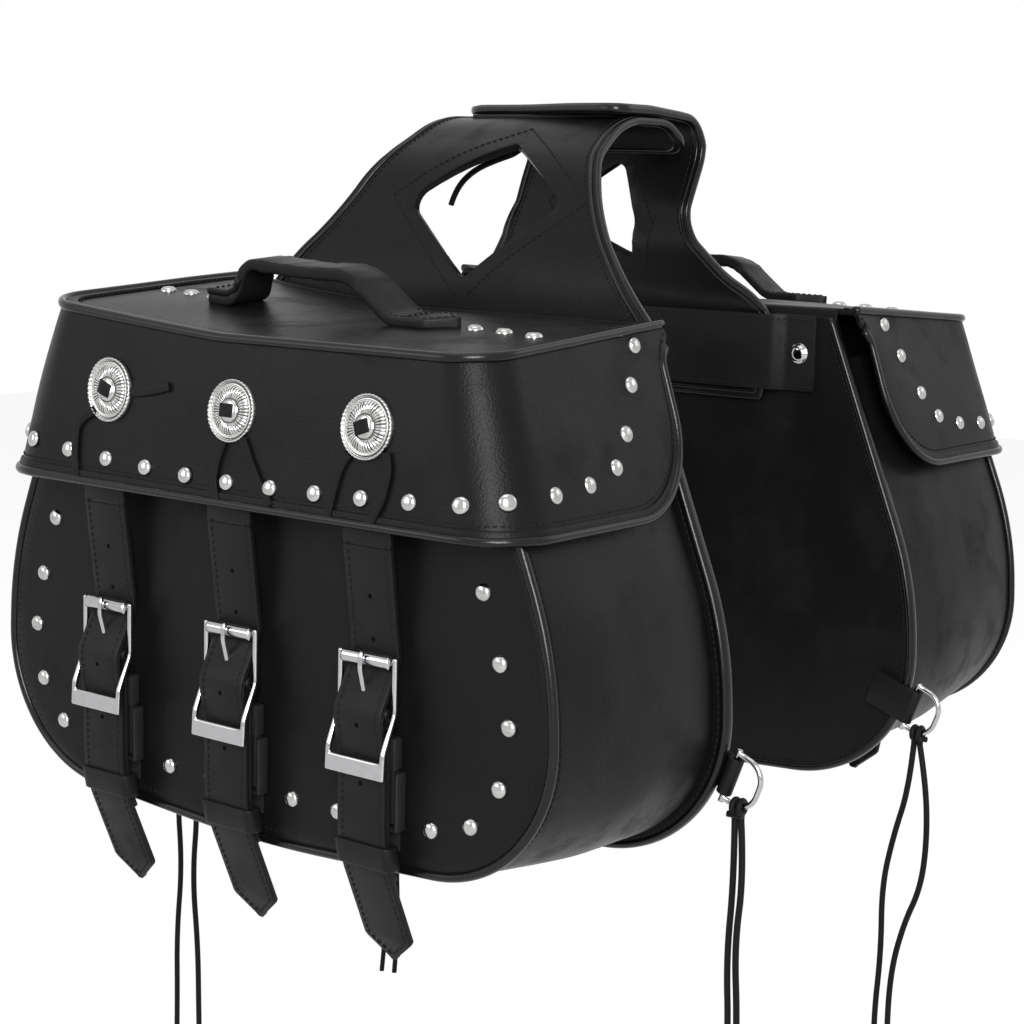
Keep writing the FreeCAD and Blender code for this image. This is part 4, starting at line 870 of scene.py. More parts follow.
def lidTopMesh():
    side, arc, front = lidPlan(*lid["top"])
    half = np.concatenate([side, arc[1:]])
    depths = np.concatenate([np.linspace(0, side[-1][1], 34), arc[1:, 1]])
    rows = []
    for depth in depths:
        reach = np.interp(depth, half[:, 1], half[:, 0])
        x = np.linspace(-reach, reach, 61)
        row = onTop(np.stack([x, np.full(len(x), depth)], axis=1))
        row[:, 2] += 0.6 * (1 - (x / reach) ** 2) * math.sin(math.pi * depth / depths[-1]) ** 0.6
        rows.append(row)
    return np.array(rows)

top = lidTopMesh()
top[..., 2] += swell(top.reshape(-1, 3), 0.7, 55, 21).reshape(top.shape[:2])
bothSides("LidTop", top.reshape(-1, 3), gridFaces(*top.shape[:2]), leather, "lid", "leather", ["lid_shell"],
          {"thick": 0.0026, "bevel": 0.0003}, (0, 80, -400))

topLine = np.concatenate([part[1 if number else 0:] for number, part in enumerate(lidPlan(*lid["top"]))])
topLine = np.concatenate([topLine, topLine[-2::-1] * (-1, 1)])
topPipe = swept(onTop(topLine) + (0, 0, 0.6), ringSection(lid["pipe"], 12), (0, 0, 1))
bothSides("LidTopPiping", *topPipe, piping, "lid", "piping", ["lid_piping"])
topBand = swept(onTop(shifted(topLine, 5.4)) + (0, 0, 0.9), slabSection(6.0, 1.6, 0.7), (0, 0, 1))
bothSides("LidTopBand", *topBand, leather, "lid", "leather")
topSeam = resampled(onTop(shifted(topLine, 9.6)) + (0, 0, 0.8), step=2)
stitchRows("LidTopStitches", [topSeam], "lid", "leather")

# Along the hem: a folded band, the glossy piping under it, and the seam above it

def upFromHem(distance, proud):
    found = []
    for column, normals in zip(skirtSoft, skirtNormals):
        lengths = distances(column[::-1])
        spot = [np.interp(distance, lengths, column[::-1, k]) for k in range(3)]
        found.append(np.array(spot) + normals[-2] * proud)
    return np.array(found)

keep = slice(1, -1)
hemLine, hemNormals = skirtSoft[keep, -1], skirtNormals[keep, -1]
hemBand = swept(upFromHem(2.6, 0.4)[keep], slabSection(5.6, 1.8, 0.8), hemNormals)
bothSides("HemBand", *hemBand, leather, "lid", "leather")
hemPipe = swept(hemLine + hemNormals * 0.7, ringSection(lid["hemPipe"], 12), hemNormals)
bothSides("HemPiping", *hemPipe, piping, "lid", "piping", ["lid_piping"])
stitchRows("HemStitches", [resampled(upFromHem(7.6, 0.15)[keep], step=2)], "lid", "leather")

# Rear fold: the lid's leather bends down into the back panel's bound edge
fold = {"reach": 140, "path": [(9, -0.4), (2.2, 0.8, 2.5), (1.2, -8)]}

def foldMesh():
    path = resampled(rounded(fold["path"], False, 0.6), step=0.9)
    x = np.linspace(-fold["reach"], fold["reach"], 47)
    points = np.array([(u, d, z) for d, z in path for u in x])
    points[:, 2] += lidRise(points) * np.clip((points[:, 2] + 7) / 7, 0, 1)
    return points, gridFaces(len(path), len(x))

folds = bothSides("LidFold", *foldMesh(), leather, None, "leather",
                  wall={"thick": 0.0015, "offset": 0, "bevel": 0.0003}, inner=(0, 60, -60))
for obj in folds:
    side = obj.name.replace("LidFold", "")
    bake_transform(obj)
print("lid sewn")


# Dressed copies of small hard CAD pieces: edges bevelled, shaded smooth between them

def dressed(node, material, body, slot, bevel, name=None, pick=None, angle=0.5):
    work = bmesh.new()
    work.from_mesh(frame["nodes"][node].data)
    bmesh.ops.remove_doubles(work, verts=work.verts, dist=0.00001)
    bmesh.ops.dissolve_limit(work, angle_limit=0.01, verts=work.verts, edges=work.edges)
    if pick:
        gone = [v for v in work.verts if not pick(v.co)]
        bmesh.ops.delete(work, geom=gone, context="VERTS")
    bmesh.ops.recalc_face_normals(work, faces=work.faces)
    mesh = bpy.data.meshes.new(name or node + "Dressed")
    work.to_mesh(mesh)
    work.free()
    obj = link(mesh.name, mesh, material)
    if bevel:
        bevelled(obj, bevel, angle)
        baked(obj)
    obj.data.set_sharp_from_angle(angle=angle)
    fit(obj, body, slot, node)


# Skirt surface for what lies on it

skirtTree = BVHTree.FromPolygons([tuple(p) for p in skirtSoft.reshape(-1, 3)], gridFaces(*skirt.shape[:2]))

def onSkirt(x, level, proud):
    place, normal, _, _ = skirtTree.ray_cast(Vector((x, 400, level)), Vector((0, -1, 0)))
    if place is None:
        place, normal, _, _ = skirtTree.find_nearest(Vector((x, 168, level)))
    if normal.y < 0:
        normal = -normal
    return np.array(place + normal * proud)


# Conchos and the flat laces knotted through them

concho = {"radius": 16.5, "rise": 5.2, "spins": (-15, 0, 20), "flutes": 40, "beads": 44, "lace": 4.4,
          "laceThick": 1.2, "sides": 208,
          "profile": [(0, 4.0), (0.16, 4.0), (0.30, 3.9), (0.345, 3.6), (0.36, 3.1), (0.40, 3.05),
                      (0.43, 3.3), (0.54, 3.5), (0.66, 3.1), (0.73, 2.4), (0.76, 1.9), (0.79, 2.2),
                      (0.82, 2.4), (0.85, 2.2), (0.89, 1.6), (0.915, 2.1), (0.945, 2.7), (0.975, 2.3),
                      (1.0, 1.2), (1.0, 0)],
          "bridge": ((-5.4, 3.6), (-4.9, 5.2), (-3.2, 5.8), (-0.9, 6.0), (1.4, 5.8), (3.1, 5.2), (3.6, 3.6))}
conchoTails = (
    (((5, 0), (15, 1), (24, 2), (35, 4.5), (45, 7.5)),
     ((-4.6, -2), (-9, -11), (-18, -15.5), (-23, -21), (-23, -34), (-20.5, -49))),
    (((-3.5, -5), (-3.8, -16), (-8, -27), (-8.8, -37), (-5, -52)),
     ((4.6, -3), (10.5, -13), (15.5, -22), (22, -32), (33, -45))),
    (((-4.5, -3), (-10.5, -14), (-15.5, -22), (-18, -33), (-20.5, -51)),
     ((4.8, -2), (14.5, -11), (17, -20), (14, -34), (7, -53))))

def conchoMesh():
    sides, rings = concho["sides"], []
    turns = np.linspace(0, math.tau, sides, endpoint=False)
    for share, height in concho["profile"][1:]:
        radius = concho["radius"] * share
        flute = 0.0
        if 0.4 < share < 0.75:
            flute = 0.8 * np.abs(np.sin(turns * concho["flutes"] / 2)) - 0.35
        if 0.9 < share < 0.98:
            flute = 0.6 * np.abs(np.sin(turns * concho["beads"] / 2)) - 0.3
        stretch = 1.0 + 0.22 * max(0.0, 1 - share / 0.36)
        rings.append(np.stack([radius * stretch * np.cos(turns), radius * np.sin(turns),
                               np.full(sides, height) * (concho["rise"] / 4.0) + flute], axis=1))
    points = np.concatenate(rings + [[[0, 0, concho["rise"]]], [[0, 0, 0]]])
    count = len(rings)
    faces = gridFaces(count, sides, False, True)
    faces += [((i + 1) % sides, i, count * sides) for i in range(sides)]
    last = (count - 1) * sides
    faces += [(last + i, last + (i + 1) % sides, count * sides + 1) for i in range(sides)]
    return points, faces

def conchoSpots():
    spots = sorted(seats("right_conchos"), key=lambda item: item[0][0])
    return [(inBag(middle), way * (1, -1, 1)) for middle, way in spots]

def flatLace(points, ups, wide, thick):
    line = np.asarray(points, float)
    lengths = distances(line)
    at = np.linspace(0, lengths[-1], max(8, int(lengths[-1] / 1.4)))
    fine = []
    for a in at:                                  # bends are rounded by averaging nearby points
        near = [np.array([np.interp(min(max(a + d, 0), lengths[-1]), lengths, line[:, k]) for k in range(3)])
                for d in (-3, -1.5, 0, 1.5, 3)]
        fine.append(np.mean(near, axis=0) if 3 < a < lengths[-1] - 3 else near[2])
    fine = np.array(fine)
    up = np.array([np.interp(at, lengths, np.asarray(ups)[:, k]) for k in range(3)]).T
    up /= np.linalg.norm(up, axis=1)[:, None]
    return swept(fine, slabSection(wide, thick, 0.45, 2), up)

conchoParts, laceParts = [], []
for number, (middle, facing) in enumerate(conchoSpots()):
    flat = np.array((1.0, 0, 0)) - facing * facing[0]
    flat /= np.linalg.norm(flat)
    rise = np.cross(flat, facing)
    rise = rise if rise[2] > 0 else -rise
    spin = math.radians(concho["spins"][number])
    across = flat * math.cos(spin) + rise * math.sin(spin)
    along = rise * math.cos(spin) - flat * math.sin(spin)
    points, faces = conchoMesh()
    disc = middle + points[:, :1] * across + points[:, 1:2] * along + points[:, 2:] * facing
    conchoParts.append((disc, faces))
    bridge = [middle + across * u + facing * h for u, h in concho["bridge"]]
    laceParts.append(flatLace(bridge, [facing] * len(bridge), concho["lace"] + 2.6, concho["laceThick"]))
    for tail in conchoTails[number]:
        line, ups = [], []
        for u, v in tail:
            if math.hypot(u, v) < 8:
                continue
            level = middle[2] + v * abs(rise[2])
            low = onSkirt(middle[0] + u, level, 1.5)
            line.append(low)
            ups.append(onSkirt(middle[0] + u, level, 2.5) - low)
        laceParts.append(flatLace(line, ups, concho["lace"] + 0.4, concho["laceThick"] + 0.2))
for obj in bothSides("Conchos", *merged(conchoParts), agedChrome, "lid", "chrome", ["conchos"]):
    obj.data.materials.append(blackened)
    # Faces in the flute valleys and the two grooves take the near-black second material: painted shade
    bands, sides = len(concho["profile"]) - 2, concho["sides"]
    for face in obj.data.polygons:
        band, turn = divmod(face.index % ((bands + 2) * sides), sides)
        inner = concho["profile"][1 + min(band, bands - 1)][0]
        valley = abs(math.sin((turn + 0.5) * math.pi / sides * concho["flutes"])) < 0.5
        if band < bands and (inner in (0.36, 0.85) or (valley and 0.4 < inner < 0.75)):
            face.material_index = 1
bothSides("ConchoLaces", *merged(laceParts), laceLeather, "lid", "lace", ["concho_laces"])
print("conchos tied")


# Handle on the lid's top

handle = {"depth": 86, "wide": 28, "thick": 4.6, "point": 14, "grip": 27,
          "path": [(-84, 2.6), (-66, 2.6, 8), (-58, 24, 12), (18, 24, 30), (46, 2.6, 18), (84, 2.6)],
          "lap": [(-84.5, 5.4), (-70, 5.6), (-64, 8.4), (-61.5, 14)],
          "crossRows": ((-80, 3.4), (56, 0.15), (60, 0.15)), "crossHalf": 10.5}

def onLidTop(x, depth, rise):
    back = depth - lid["gap"]
    return np.array((x, depth + rise * math.sin(lid["slope"]), -back * math.tan(lid["slope"])
                     + rise * math.cos(lid["slope"])))

def topNormal():
    return np.array((0, math.sin(lid["slope"]), math.cos(lid["slope"])))

def handlePieces():
    path = resampled(rounded(handle["path"], False, 1.5), step=2)
    line = np.array([onLidTop(x, handle["depth"], z) for x, z in path])
    left = handle["path"][-1][0] - path[:, 0]
    scale = np.ones((len(path), 2))
    scale[:, 0] = np.clip(left / handle["point"], 0.06, 1)
    grip = np.clip((path[:, 0] + 66) / 4, 0, 1) * np.clip((handle["grip"] - path[:, 0]) / 3, 0, 1)
    creases = np.array([noise.noise(Vector((x / 5, 1.3, 0.7))) for x, _ in path])
    scale[:, 0] *= 1 - grip * (0.14 - 0.05 * creases)
    scale[:, 1] *= 1 + grip * (0.45 + 0.25 * creases)
    band = swept(line, slabSection(handle["wide"], handle["thick"], 1.1), topNormal(), scale=scale)
    lapLine = np.array([onLidTop(x, handle["depth"], z + 0.9) for x, z in resampled(handle["lap"], step=2)])
    folded = swept(lapLine, slabSection(handle["wide"] + 0.6, 3.2, 1.1), topNormal())
    return band, folded, path

band, folded, handlePath = handlePieces()
bothSides("Handle", *band, strapLeather, "lid", "strap_leather", ["handle"])
bothSides("HandleFold", *folded, strapLeather, "lid", "strap_leather")

def handleRow(side):
    rows = []
    for x, z in handlePath[3:-2]:
        reach = min(handle["wide"] / 2 - 3, (handle["path"][-1][0] - x) - 3.6)
        if reach <= 0:
            break
        rows.append(onLidTop(x, handle["depth"] + side * reach, z + handle["thick"] / 2 + 0.15))
    return np.array(rows)

def crossRow(x, lift):
    level = handle["path"][0][1] + handle["thick"] / 2 + lift
    return np.array([onLidTop(x, handle["depth"] + u, level)
                     for u in np.linspace(-handle["crossHalf"], handle["crossHalf"], 12)])

cross = [crossRow(*spot) for spot in handle["crossRows"]]
stitchRows("HandleStitches", [handleRow(-1), handleRow(1), *cross], "lid", "strap_leather")
print("handle fitted")


# Straps, their roots, chapes, keepers, buckles

strap = {"wide": 31, "thick": 3.4, "at": {"rear": -98, "middle": -3, "front": 92}, "tip": 14, "inset": 3.2,
         "path": [(162.8, 104), (155.5, 160, 14), (169.2, 186, 14), (165, 213, 30), (165, 246, 60),
                  (162, 264, 60), (138, 320)],
         "holes": {"rear": (128, 151, 192, 222), "middle": (129, 151, 192, 222),
                   "front": (129, 151, 192, 222)},
         "hole": 1.3, "root": [(159.6, 84), (163.2, 94, 12), (162.8, 103.9)],
         "chape": [(161.2, 187.5), (161.6, 205, 30), (161.5, 246, 40), (158.5, 264, 40), (155.1, 272)],
         "chapeWide": 29, "chapeThick": 2.4, "chapeLoop": {"from": 2.6, "to": 14, "radius": 3.2}}
keeper = {"wide": 34, "deep": 8.4, "corner": 2.4, "stand": 160.9, "level": -259, "band": (2.4, 13, 1.1),
          "lean": 0.2}
buckle = {"wide": 38.5, "rail": 2.9, "barFrom": 208,
          "path": [(161.9, 157), (162.1, 185, 12), (170.3, 204, 10), (171.1, 217)],
          "axle": (161.9, 160), "roller": 3.7, "rollerHalf": 15.2, "bar": (162, 186), "barRadius": 1.5,
          "barHalf": 18, "axleRadius": 1.3, "prongThick": 2.8, "prongEye": 2.7,
          "prong": [(162.4, 187.5), (162.9, 180), (167.3, 164, 10), (166.6, 155.5)]}
strapSection = slabSection(strap["wide"], strap["thick"], 0.9)

def down(points, x):
    points = np.asarray(points, float)
    return np.stack([np.full(len(points), float(x)), points[:, 0], -points[:, 1]], axis=1)

def strapPath(step=2.0):
    return resampled(rounded(strap["path"], False, 1.5), step=step)

def strapMesh(x):
    path = strapPath()
    left = np.linalg.norm(path - path[-1], axis=1)
    scale = np.ones((len(path), 2))
    scale[:, 0] = np.clip((left + 0.8) / strap["tip"], 0.1, 1)
    return swept(down(path, x), strapSection, (0, 1, 0), scale=scale)

def edgeRow(x, side):
    path = strapPath(2.2)
    keep = np.array([p for p in path if np.linalg.norm(p - path[-1]) > 3.4])
    rows = []
    for (stand, drop), (ts, td) in zip(keep, tangents(keep)):
        near = min(1, np.linalg.norm((stand, drop) - path[-1]) / strap["tip"])
        reach = (strap["wide"] / 2) * near - strap["inset"]
        lift = strap["thick"] / 2 + 0.05
        rows.append((x + side * max(reach, 0), stand + td * lift, -(drop - ts * lift)))
    return np.array(rows)

def cylinder(start, end, radius, sides):
    start, end = np.array(start, float), np.array(end, float)
    near = (end - start) * 0.03
    return swept(np.array([start, start + near, end - near, end]), ringSection(radius, sides), (0, 0, 1))

# A round bar across a strap, at a (stand, drop) place
def rod(start, end, place, radius, sides):
    stand, drop = place
    return cylinder((start, stand, -drop), (end, stand, -drop), radius, sides)

def punch(obj, cutters, side):
    mesh = meshFrom("punch", toPlace(cutters[0], side), cutters[1])
    outward(mesh)
    tool = link("punch", mesh, strapLeather)
    cut = obj.modifiers.new("punch", "BOOLEAN")
    cut.operation = "DIFFERENCE"
    cut.solver = "EXACT"
    cut.object = tool
    baked(obj)
    bpy.data.objects.remove(tool)

def holeTools(x, drops):
    path = strapPath()
    parts = []
    for drop in drops:
        stand = np.interp(drop, path[:, 1], path[:, 0])
        parts.append(cylinder((x, stand - 9, -drop), (x, stand + 9, -drop), strap["hole"], 20))
    return merged(parts)

def keeperMesh(x):
    ring = rounded(boxCorners(keeper["wide"], keeper["deep"], keeper["corner"]), True, 1.0)
    ring = resampled(ring, step=1.6, closed=True)
    level = np.full(len(ring), keeper["level"])
    line = np.stack([x + ring[:, 0], keeper["stand"] + ring[:, 1], level], axis=1)
    points, faces = swept(line, slabSection(*keeper["band"]), (0, 0, 1), closed=True)
    points[:, 1] -= (keeper["level"] - points[:, 2]) * keeper["lean"]
    return points, faces

def buckleFrame(x):
    path = resampled(rounded(buckle["path"], False, 0.8), step=1.0)
    half, rail = buckle["wide"] / 2, buckle["rail"]
    columns = [-half, -half + rail / 2, -half + rail]
    columns += list(np.linspace(-half + rail, half - rail, 12)[1:])
    columns += [half - rail / 2, half]
    points = np.array([(x + u, s, -d) for s, d in path for u in columns])
    faces = []
    for i in range(len(path) - 1):
        for j in range(len(columns) - 1):
            if (2 <= j < len(columns) - 3) and path[i, 1] < buckle["barFrom"]:
                continue
            a = i * len(columns) + j
            faces.append((a, a + 1, a + 1 + len(columns), a + len(columns)))
    used = sorted({i for f in faces for i in f})
    remap = {old: new for new, old in enumerate(used)}
    return points[used], [tuple(remap[i] for i in f) for f in faces]

def prongMesh(x):
    path = resampled(rounded(buckle["prong"], False, 0.8), step=1.0)
    t = buckle["prongThick"]
    scale = np.ones((len(path), 2))
    scale[-3:] = [(0.92, 0.9), (0.8, 0.75), (0.6, 0.5)]
    body = swept(down(path, x), slabSection(t, t, 0.8), (0, 1, 0), scale=scale)
    turns = np.linspace(0, math.tau, 20, endpoint=False)
    (stand, drop), eye = buckle["bar"], buckle["prongEye"]
    ring = np.array([(x, stand + eye * math.cos(a), -drop + eye * math.sin(a)) for a in turns])
    return merged([body, swept(ring, slabSection(2.0, t, 0.5), (1, 0, 0), closed=True)])

for row, x in strap["at"].items():
    body, end = f"strap_{row}", row.capitalize()
    made = bothSides("Strap" + end, *strapMesh(x), strapLeather, body, "strap_leather", [body])
    for obj, side in zip(made, ("right", "left")):
        punch(obj, holeTools(x, strap["holes"][row]), side)
        obj.data.set_sharp_from_angle(angle=0.7)
    stitchRows(f"Strap{end}Stitches", [edgeRow(x, -1), edgeRow(x, 1)], body, "strap_leather")
    chape = resampled(rounded(strap["chape"], False, 1.5), step=2)
    parts = [swept(down(chape, x), slabSection(strap["chapeWide"], strap["chapeThick"], 0.7), (0, 1, 0))]
    eye = strap["chapeLoop"]
    parts += [rod(x + side * eye["from"], x + side * eye["to"], buckle["bar"], eye["radius"], 20)
              for side in (-1, 1)]
    bothSides("Chape" + end, *merged(parts), strapLeather, body, "strap_leather")
    bothSides("Keeper" + end, *keeperMesh(x), strapLeather, body, "strap_leather")
    bothSides("BuckleFrame" + end, *buckleFrame(x), chrome, body, "chrome", [f"buckle_{row}"],
              {"thick": 0.0029, "offset": 0, "bevel": 0.00135}, (0, 100, -190))
    half, long = buckle["rollerHalf"], buckle["barHalf"]
    hard = [rod(x - half, x + half, buckle["axle"], buckle["roller"], 28),
            rod(x - long, x + long, buckle["axle"], buckle["axleRadius"], 16),
            rod(x - long, x + long, buckle["bar"], buckle["barRadius"], 16), prongMesh(x)]
    bothSides("BucklePins" + end, *merged(hard), chrome, body, "chrome")
    for side in ("right", "left"):
        dressed(f"{side}_clip_plug_{row}", clipPlastic, f"{side}_{body}", "clip_plastic", 0.0005)
    root = down(resampled(rounded(strap["root"], False, 1.0), step=2), x)
    bothSides("StrapRoot" + end, *swept(root, strapSection, (0, 1, 0)), strapLeather, "lid", "strap_leather")
print("straps buckled")


# Clip trays, webbing, sewn tabs, rings with their hitches, inner boards

tabs = {"from": 150}          # the rings' tabs lie outside this distance from the middle, the webbing inside

for side in ("right", "left"):
    body = f"{side}_bag"
    dressed(f"{side}_clip_sockets", clipPlastic, body, "clip_plastic", 0.0006)
    dressed(f"{side}_sewn_tabs", strapLeather, body, "leather", 0.0005, side + "RingTabs",
            lambda place: abs(place.x / mm) > tabs["from"])
    dressed(f"{side}_sewn_tabs", webbing, body, "leather", 0.0003, side + "ClipWebbing",
            lambda place: abs(place.x / mm) < tabs["from"])
    dressed(f"{side}_boards", lining, body, "board", 0.0006)
    dressed(f"{side}_loop_strap", strapLeather, body, "strap_leather", 0.0007)
    for end in ("front", "rear"):
        node, body = f"{side}_ring_{end}", f"{side}_ring_{end}_set"
        hitch = min((points for points, _ in islands(node)), key=lambda points: np.ptp(points[:, 2]))
        inHitch = {tuple(np.round(p, 6)) for p in hitch}
        dressed(node, chrome, body, "chrome", 0, f"{side}Ring{end.capitalize()}",
                lambda place: tuple(np.round(place[:], 6)) not in inHitch, angle=1.0)
        dressed(node, laceLeather, body, "chrome", 0, f"{side}Hitch{end.capitalize()}",
                lambda place: tuple(np.round(place[:], 6)) in inHitch, angle=1.2)
print("tabs, trays and rings dressed")


# Loop strap's stitches and snap

def lathe(middle, facing, profile, sides):
    middle, facing = np.array(middle, float), np.array(facing, float)
    side = np.cross(facing, (0.3, 0.2, 0.9))
    side /= np.linalg.norm(side)
    other = np.cross(facing, side)
    turns = np.linspace(0, math.tau, sides, endpoint=False)
    rings = [middle + facing * h + r * (np.cos(turns)[:, None] * side + np.sin(turns)[:, None] * other)
             for r, h in profile]
    faces = gridFaces(len(profile), sides, False, True)
    faces += [tuple(range(sides)), tuple((len(profile) - 1) * sides + k for k in reversed(range(sides)))]
    return np.concatenate(rings), faces

loop = {"out": -7.55, "sewn": -2.75, "top": -6.8, "foot": -47.2, "end": 125.5, "step": 108, "level": -27}

def loopRow(level):
    end, step, sewn, out = (loop[part] for part in ("end", "step", "sewn", "out"))
    x = [-end, -step, 8 - step, step - 8, step, end]
    depth = [sewn, sewn, out, out, sewn, sewn]
    return resampled(np.stack([x, depth, np.full(len(x), level)], axis=1), step=2)

ends = [np.array([(sign * u, loop["sewn"], z) for z in np.linspace(loop["top"], loop["foot"], 20)])
        for sign in (-1, 1) for u in (loop["step"] + 3, loop["end"])]
stitchRows("LoopStitches", [loopRow(loop["top"]), loopRow(loop["foot"]), *ends], "bag", "strap_leather")
snapProfile = [(6.2, 0), (6.3, 0.7), (5.9, 1.1), (4.9, 1.2), (4.6, 1.9), (3.8, 2.6), (2.4, 3.0), (0.8, 3.1)]
snap = lathe((loop["end"] - 8, loop["sewn"] + 0.2, loop["level"]), (0, -1, 0), snapProfile, 32)
bothSides("Snap", *snap, chrome, "bag", "chrome")


# Yoke: two cut sheets with a window, draped over each other, edges bound

yoke = {"thick": 4.5, "wave": 1.1,
        "outline": [(70, 400, 14), (70, -6, 60), (96, -54, 150), (148, -114, 3), (97, -122, 2), (92, -160)],
        "window": [(13, -12, 5), (68, -44, 6), (13, -87, 6), (-46, -43, 8)],
        "seam": [(13, -4, 1), (83, -43, 1), (13, -99, 1), (-58, -42, 1)],
        "right": {"turn": (-1, 1), "twist": ((-160, 0), (38, 0)), "crown": 0,
                  "path": [(-97.25, -160), (-97.25, -84, 60), (-65, -22, 60), (-24, 3.2, 60), (18, 3.4, 30),
                           (42, -12)]},
        "left": {"turn": (1, -1), "crown": 0.09,
                 "path": [(97.25, -160), (97.25, -100, 20), (58.25, -59, 25), (66.25, -15, 30), (60, 6, 15),
                          (20, 9.6, 60), (-16, 9.8)],
                 "front": [(70, 400, 14), (70, -54, 40), (76, -84, 30), (98, -114, 3), (96, -122, 2),
                           (92, -160)],
                 "window": [(8, -17, 8), (27, -54, 8), (10, -77, 5), (-46, -45, 8)],
                 "seam": [(8, -7, 1), (41, -54, 1), (10, -90, 1), (-58, -44, 1)],
                 "twist": ((-160, 0), (-108, 0), (-66, 0.24), (-45, 0.27), (-28, 0.2), (-8, 0.12),
                           (8, 0.18))}}

# One half's centre path, from its lower end to its free end
class Drape:
    def __init__(self, side):
        spec = yoke[side]
        self.side = side
        self.path = resampled(rounded(spec["path"], False, 1.0), step=1.0)
        self.along = distances(self.path)
        turn = tangents(self.path)
        a, b = spec["turn"]
        self.normals = np.stack([a * turn[:, 1], b * turn[:, 0]], axis=1)
        crown = np.clip((56 - self.path[:, 0]) / 40, 0, 1) * (self.path[:, 1] > 0)
        self.twist = np.interp(self.path[:, 1], *np.transpose(spec["twist"])) + spec["crown"] * crown

    # Distance along the path at a height below the crown
    def at(self, level):
        low = np.arange(len(self.path)) < np.argmax(self.path[:, 1] > self.path[:, 1].max() - 1)
        return np.interp(level, self.path[low, 1], self.along[low])

    def flat(self, corners, step=2.0):
        line = rounded(corners, True, step)
        end = self.along[-1]
        return np.array([(x, end + z - 400 if z > 300 else self.at(max(z, -160))) for x, z in line])

    def place(self, points, lift=0.0):
        points = np.asarray(points, float)
        x, s = points.T
        y, z = (np.interp(s, self.along, self.path[:, k]) for k in (0, 1))
        ny, nz = (np.interp(s, self.along, self.normals[:, k]) for k in (0, 1))
        waves = np.array([noise.noise(Vector((u / 60, v / 70, 3.7))) for u, v in points])
        rise = lift + yoke["wave"] * waves * np.clip((z + 100) / 60, 0, 1)
        y = y + ny * rise - np.interp(s, self.along, self.twist) * x
        return np.stack([x, y, z + nz * rise], axis=1)

def closedOutline(drape):
    half = yoke["outline"]
    corners = yoke[drape.side].get("front", half) + [(-x, *rest) for x, *rest in half[::-1]]
    return resampled(drape.flat(corners), step=2.5, closed=True)

def insetLoop(line, amount):
    area = np.sum(line[:, 0] * np.roll(line[:, 1], -1) - line[:, 1] * np.roll(line[:, 0], -1))
    moved = line + outlineNormals(line, True) * amount * (1 if area > 0 else -1)
    gaps = np.linalg.norm(moved[:, None] - line[None], axis=2).min(axis=1)
    return resampled(moved[gaps > abs(amount) * 0.93 - 0.1], step=2.2, closed=True)

# A flat sheet cut to its outline and holes, and divided by a grid so that it can bend
def cutSheet(outline, holes, stepX, stepS):
    work = bmesh.new()
    for line in [outline, *holes]:
        verts = [work.verts.new((x, s, 0)) for x, s in line]
        for a, b in zip(verts, verts[1:] + verts[:1]):
            work.edges.new((a, b))
    bmesh.ops.triangle_fill(work, use_beauty=True, edges=work.edges[:], normal=(0, 0, 1))
    bmesh.ops.dissolve_limit(work, angle_limit=0.01, verts=[], edges=work.edges[:])
    low, high = outline.min(axis=0), outline.max(axis=0)
    lines = [np.arange(low[k] + step / 2, high[k], step) for k, step in enumerate((stepX, stepS))]
    for normal, values in zip(((1, 0, 0), (0, 1, 0)), lines):
        for value in values:
            bmesh.ops.bisect_plane(work, geom=work.verts[:] + work.edges[:] + work.faces[:], dist=0.001,
                                   plane_co=Vector(normal) * value, plane_no=normal)

    def onGrid(edge):
        return any(np.abs(lines[k] - edge.verts[0].co[k]).min() < 0.01
                   and abs(edge.verts[0].co[k] - edge.verts[1].co[k]) < 0.01 for k in (0, 1))

    extra = [e for e in work.edges if len(e.link_faces) == 2 and not onGrid(e)]
    bmesh.ops.dissolve_edges(work, edges=extra, use_verts=False)
    work.verts.index_update()
    points = np.array([v.co[:2] for v in work.verts])
    faces = [tuple(v.index for v in f.verts) for f in work.faces]
    work.free()
    return points, faces

def yokePiece(name, points, faces, material, slot, body, nodes=(), wall=None):
    mesh = meshFrom(name, np.asarray(points) * mm, faces)
    outward(mesh)
    obj = link(name, mesh, material)
    if wall:
        thicken(obj, **wall)
    fit(obj, body, slot, *nodes)

def loopTube(drape, flatLine, radius, flat, lift):
    line = drape.place(flatLine, lift)
    ups = drape.place(flatLine, lift + 1) - line
    return swept(line, ringSection(radius, 10, flat), ups / np.linalg.norm(ups, axis=1)[:, None], closed=True)

for side in ("right", "left"):
    drape, body = Drape(side), f"{side}_bag"
    outline = closedOutline(drape)
    window, seam = (resampled(drape.flat(yoke[side].get(part, yoke[part])), step=step, closed=True)
                    for part, step in (("window", 2.5), ("seam", 2.0)))
    points, faces = cutSheet(outline, [window], 8, 6)
    yokePiece(side + "Yoke", drape.place(points), faces, leather, "strap_leather", body, [f"{side}_yoke"],
              {"thick": yoke["thick"] * mm, "offset": 0, "bevel": 0.0008})
    half = yoke["thick"] / 2
    beads = [loopTube(drape, outline, 1.5, 1.75, 0)]
    beads += [loopTube(drape, insetLoop(outline, 3.6), 1.3, 0.8, lift) for lift in (half, -half)]
    yokePiece(side + "YokeBinding", *merged(beads), piping, "piping", body)
    rows = [drape.place(np.concatenate([line, line[:1]]), lift * (half + 0.15))
            for line in (insetLoop(outline, 7.2), seam) for lift in (-1, 1)]
    stitchRows("YokeStitches", rows, "bag", "strap_leather", lambda line, _: np.asarray(line) * mm, (side,))
print("yoke draped")


# Hook-and-loop patch between the halves, and the tie's knot

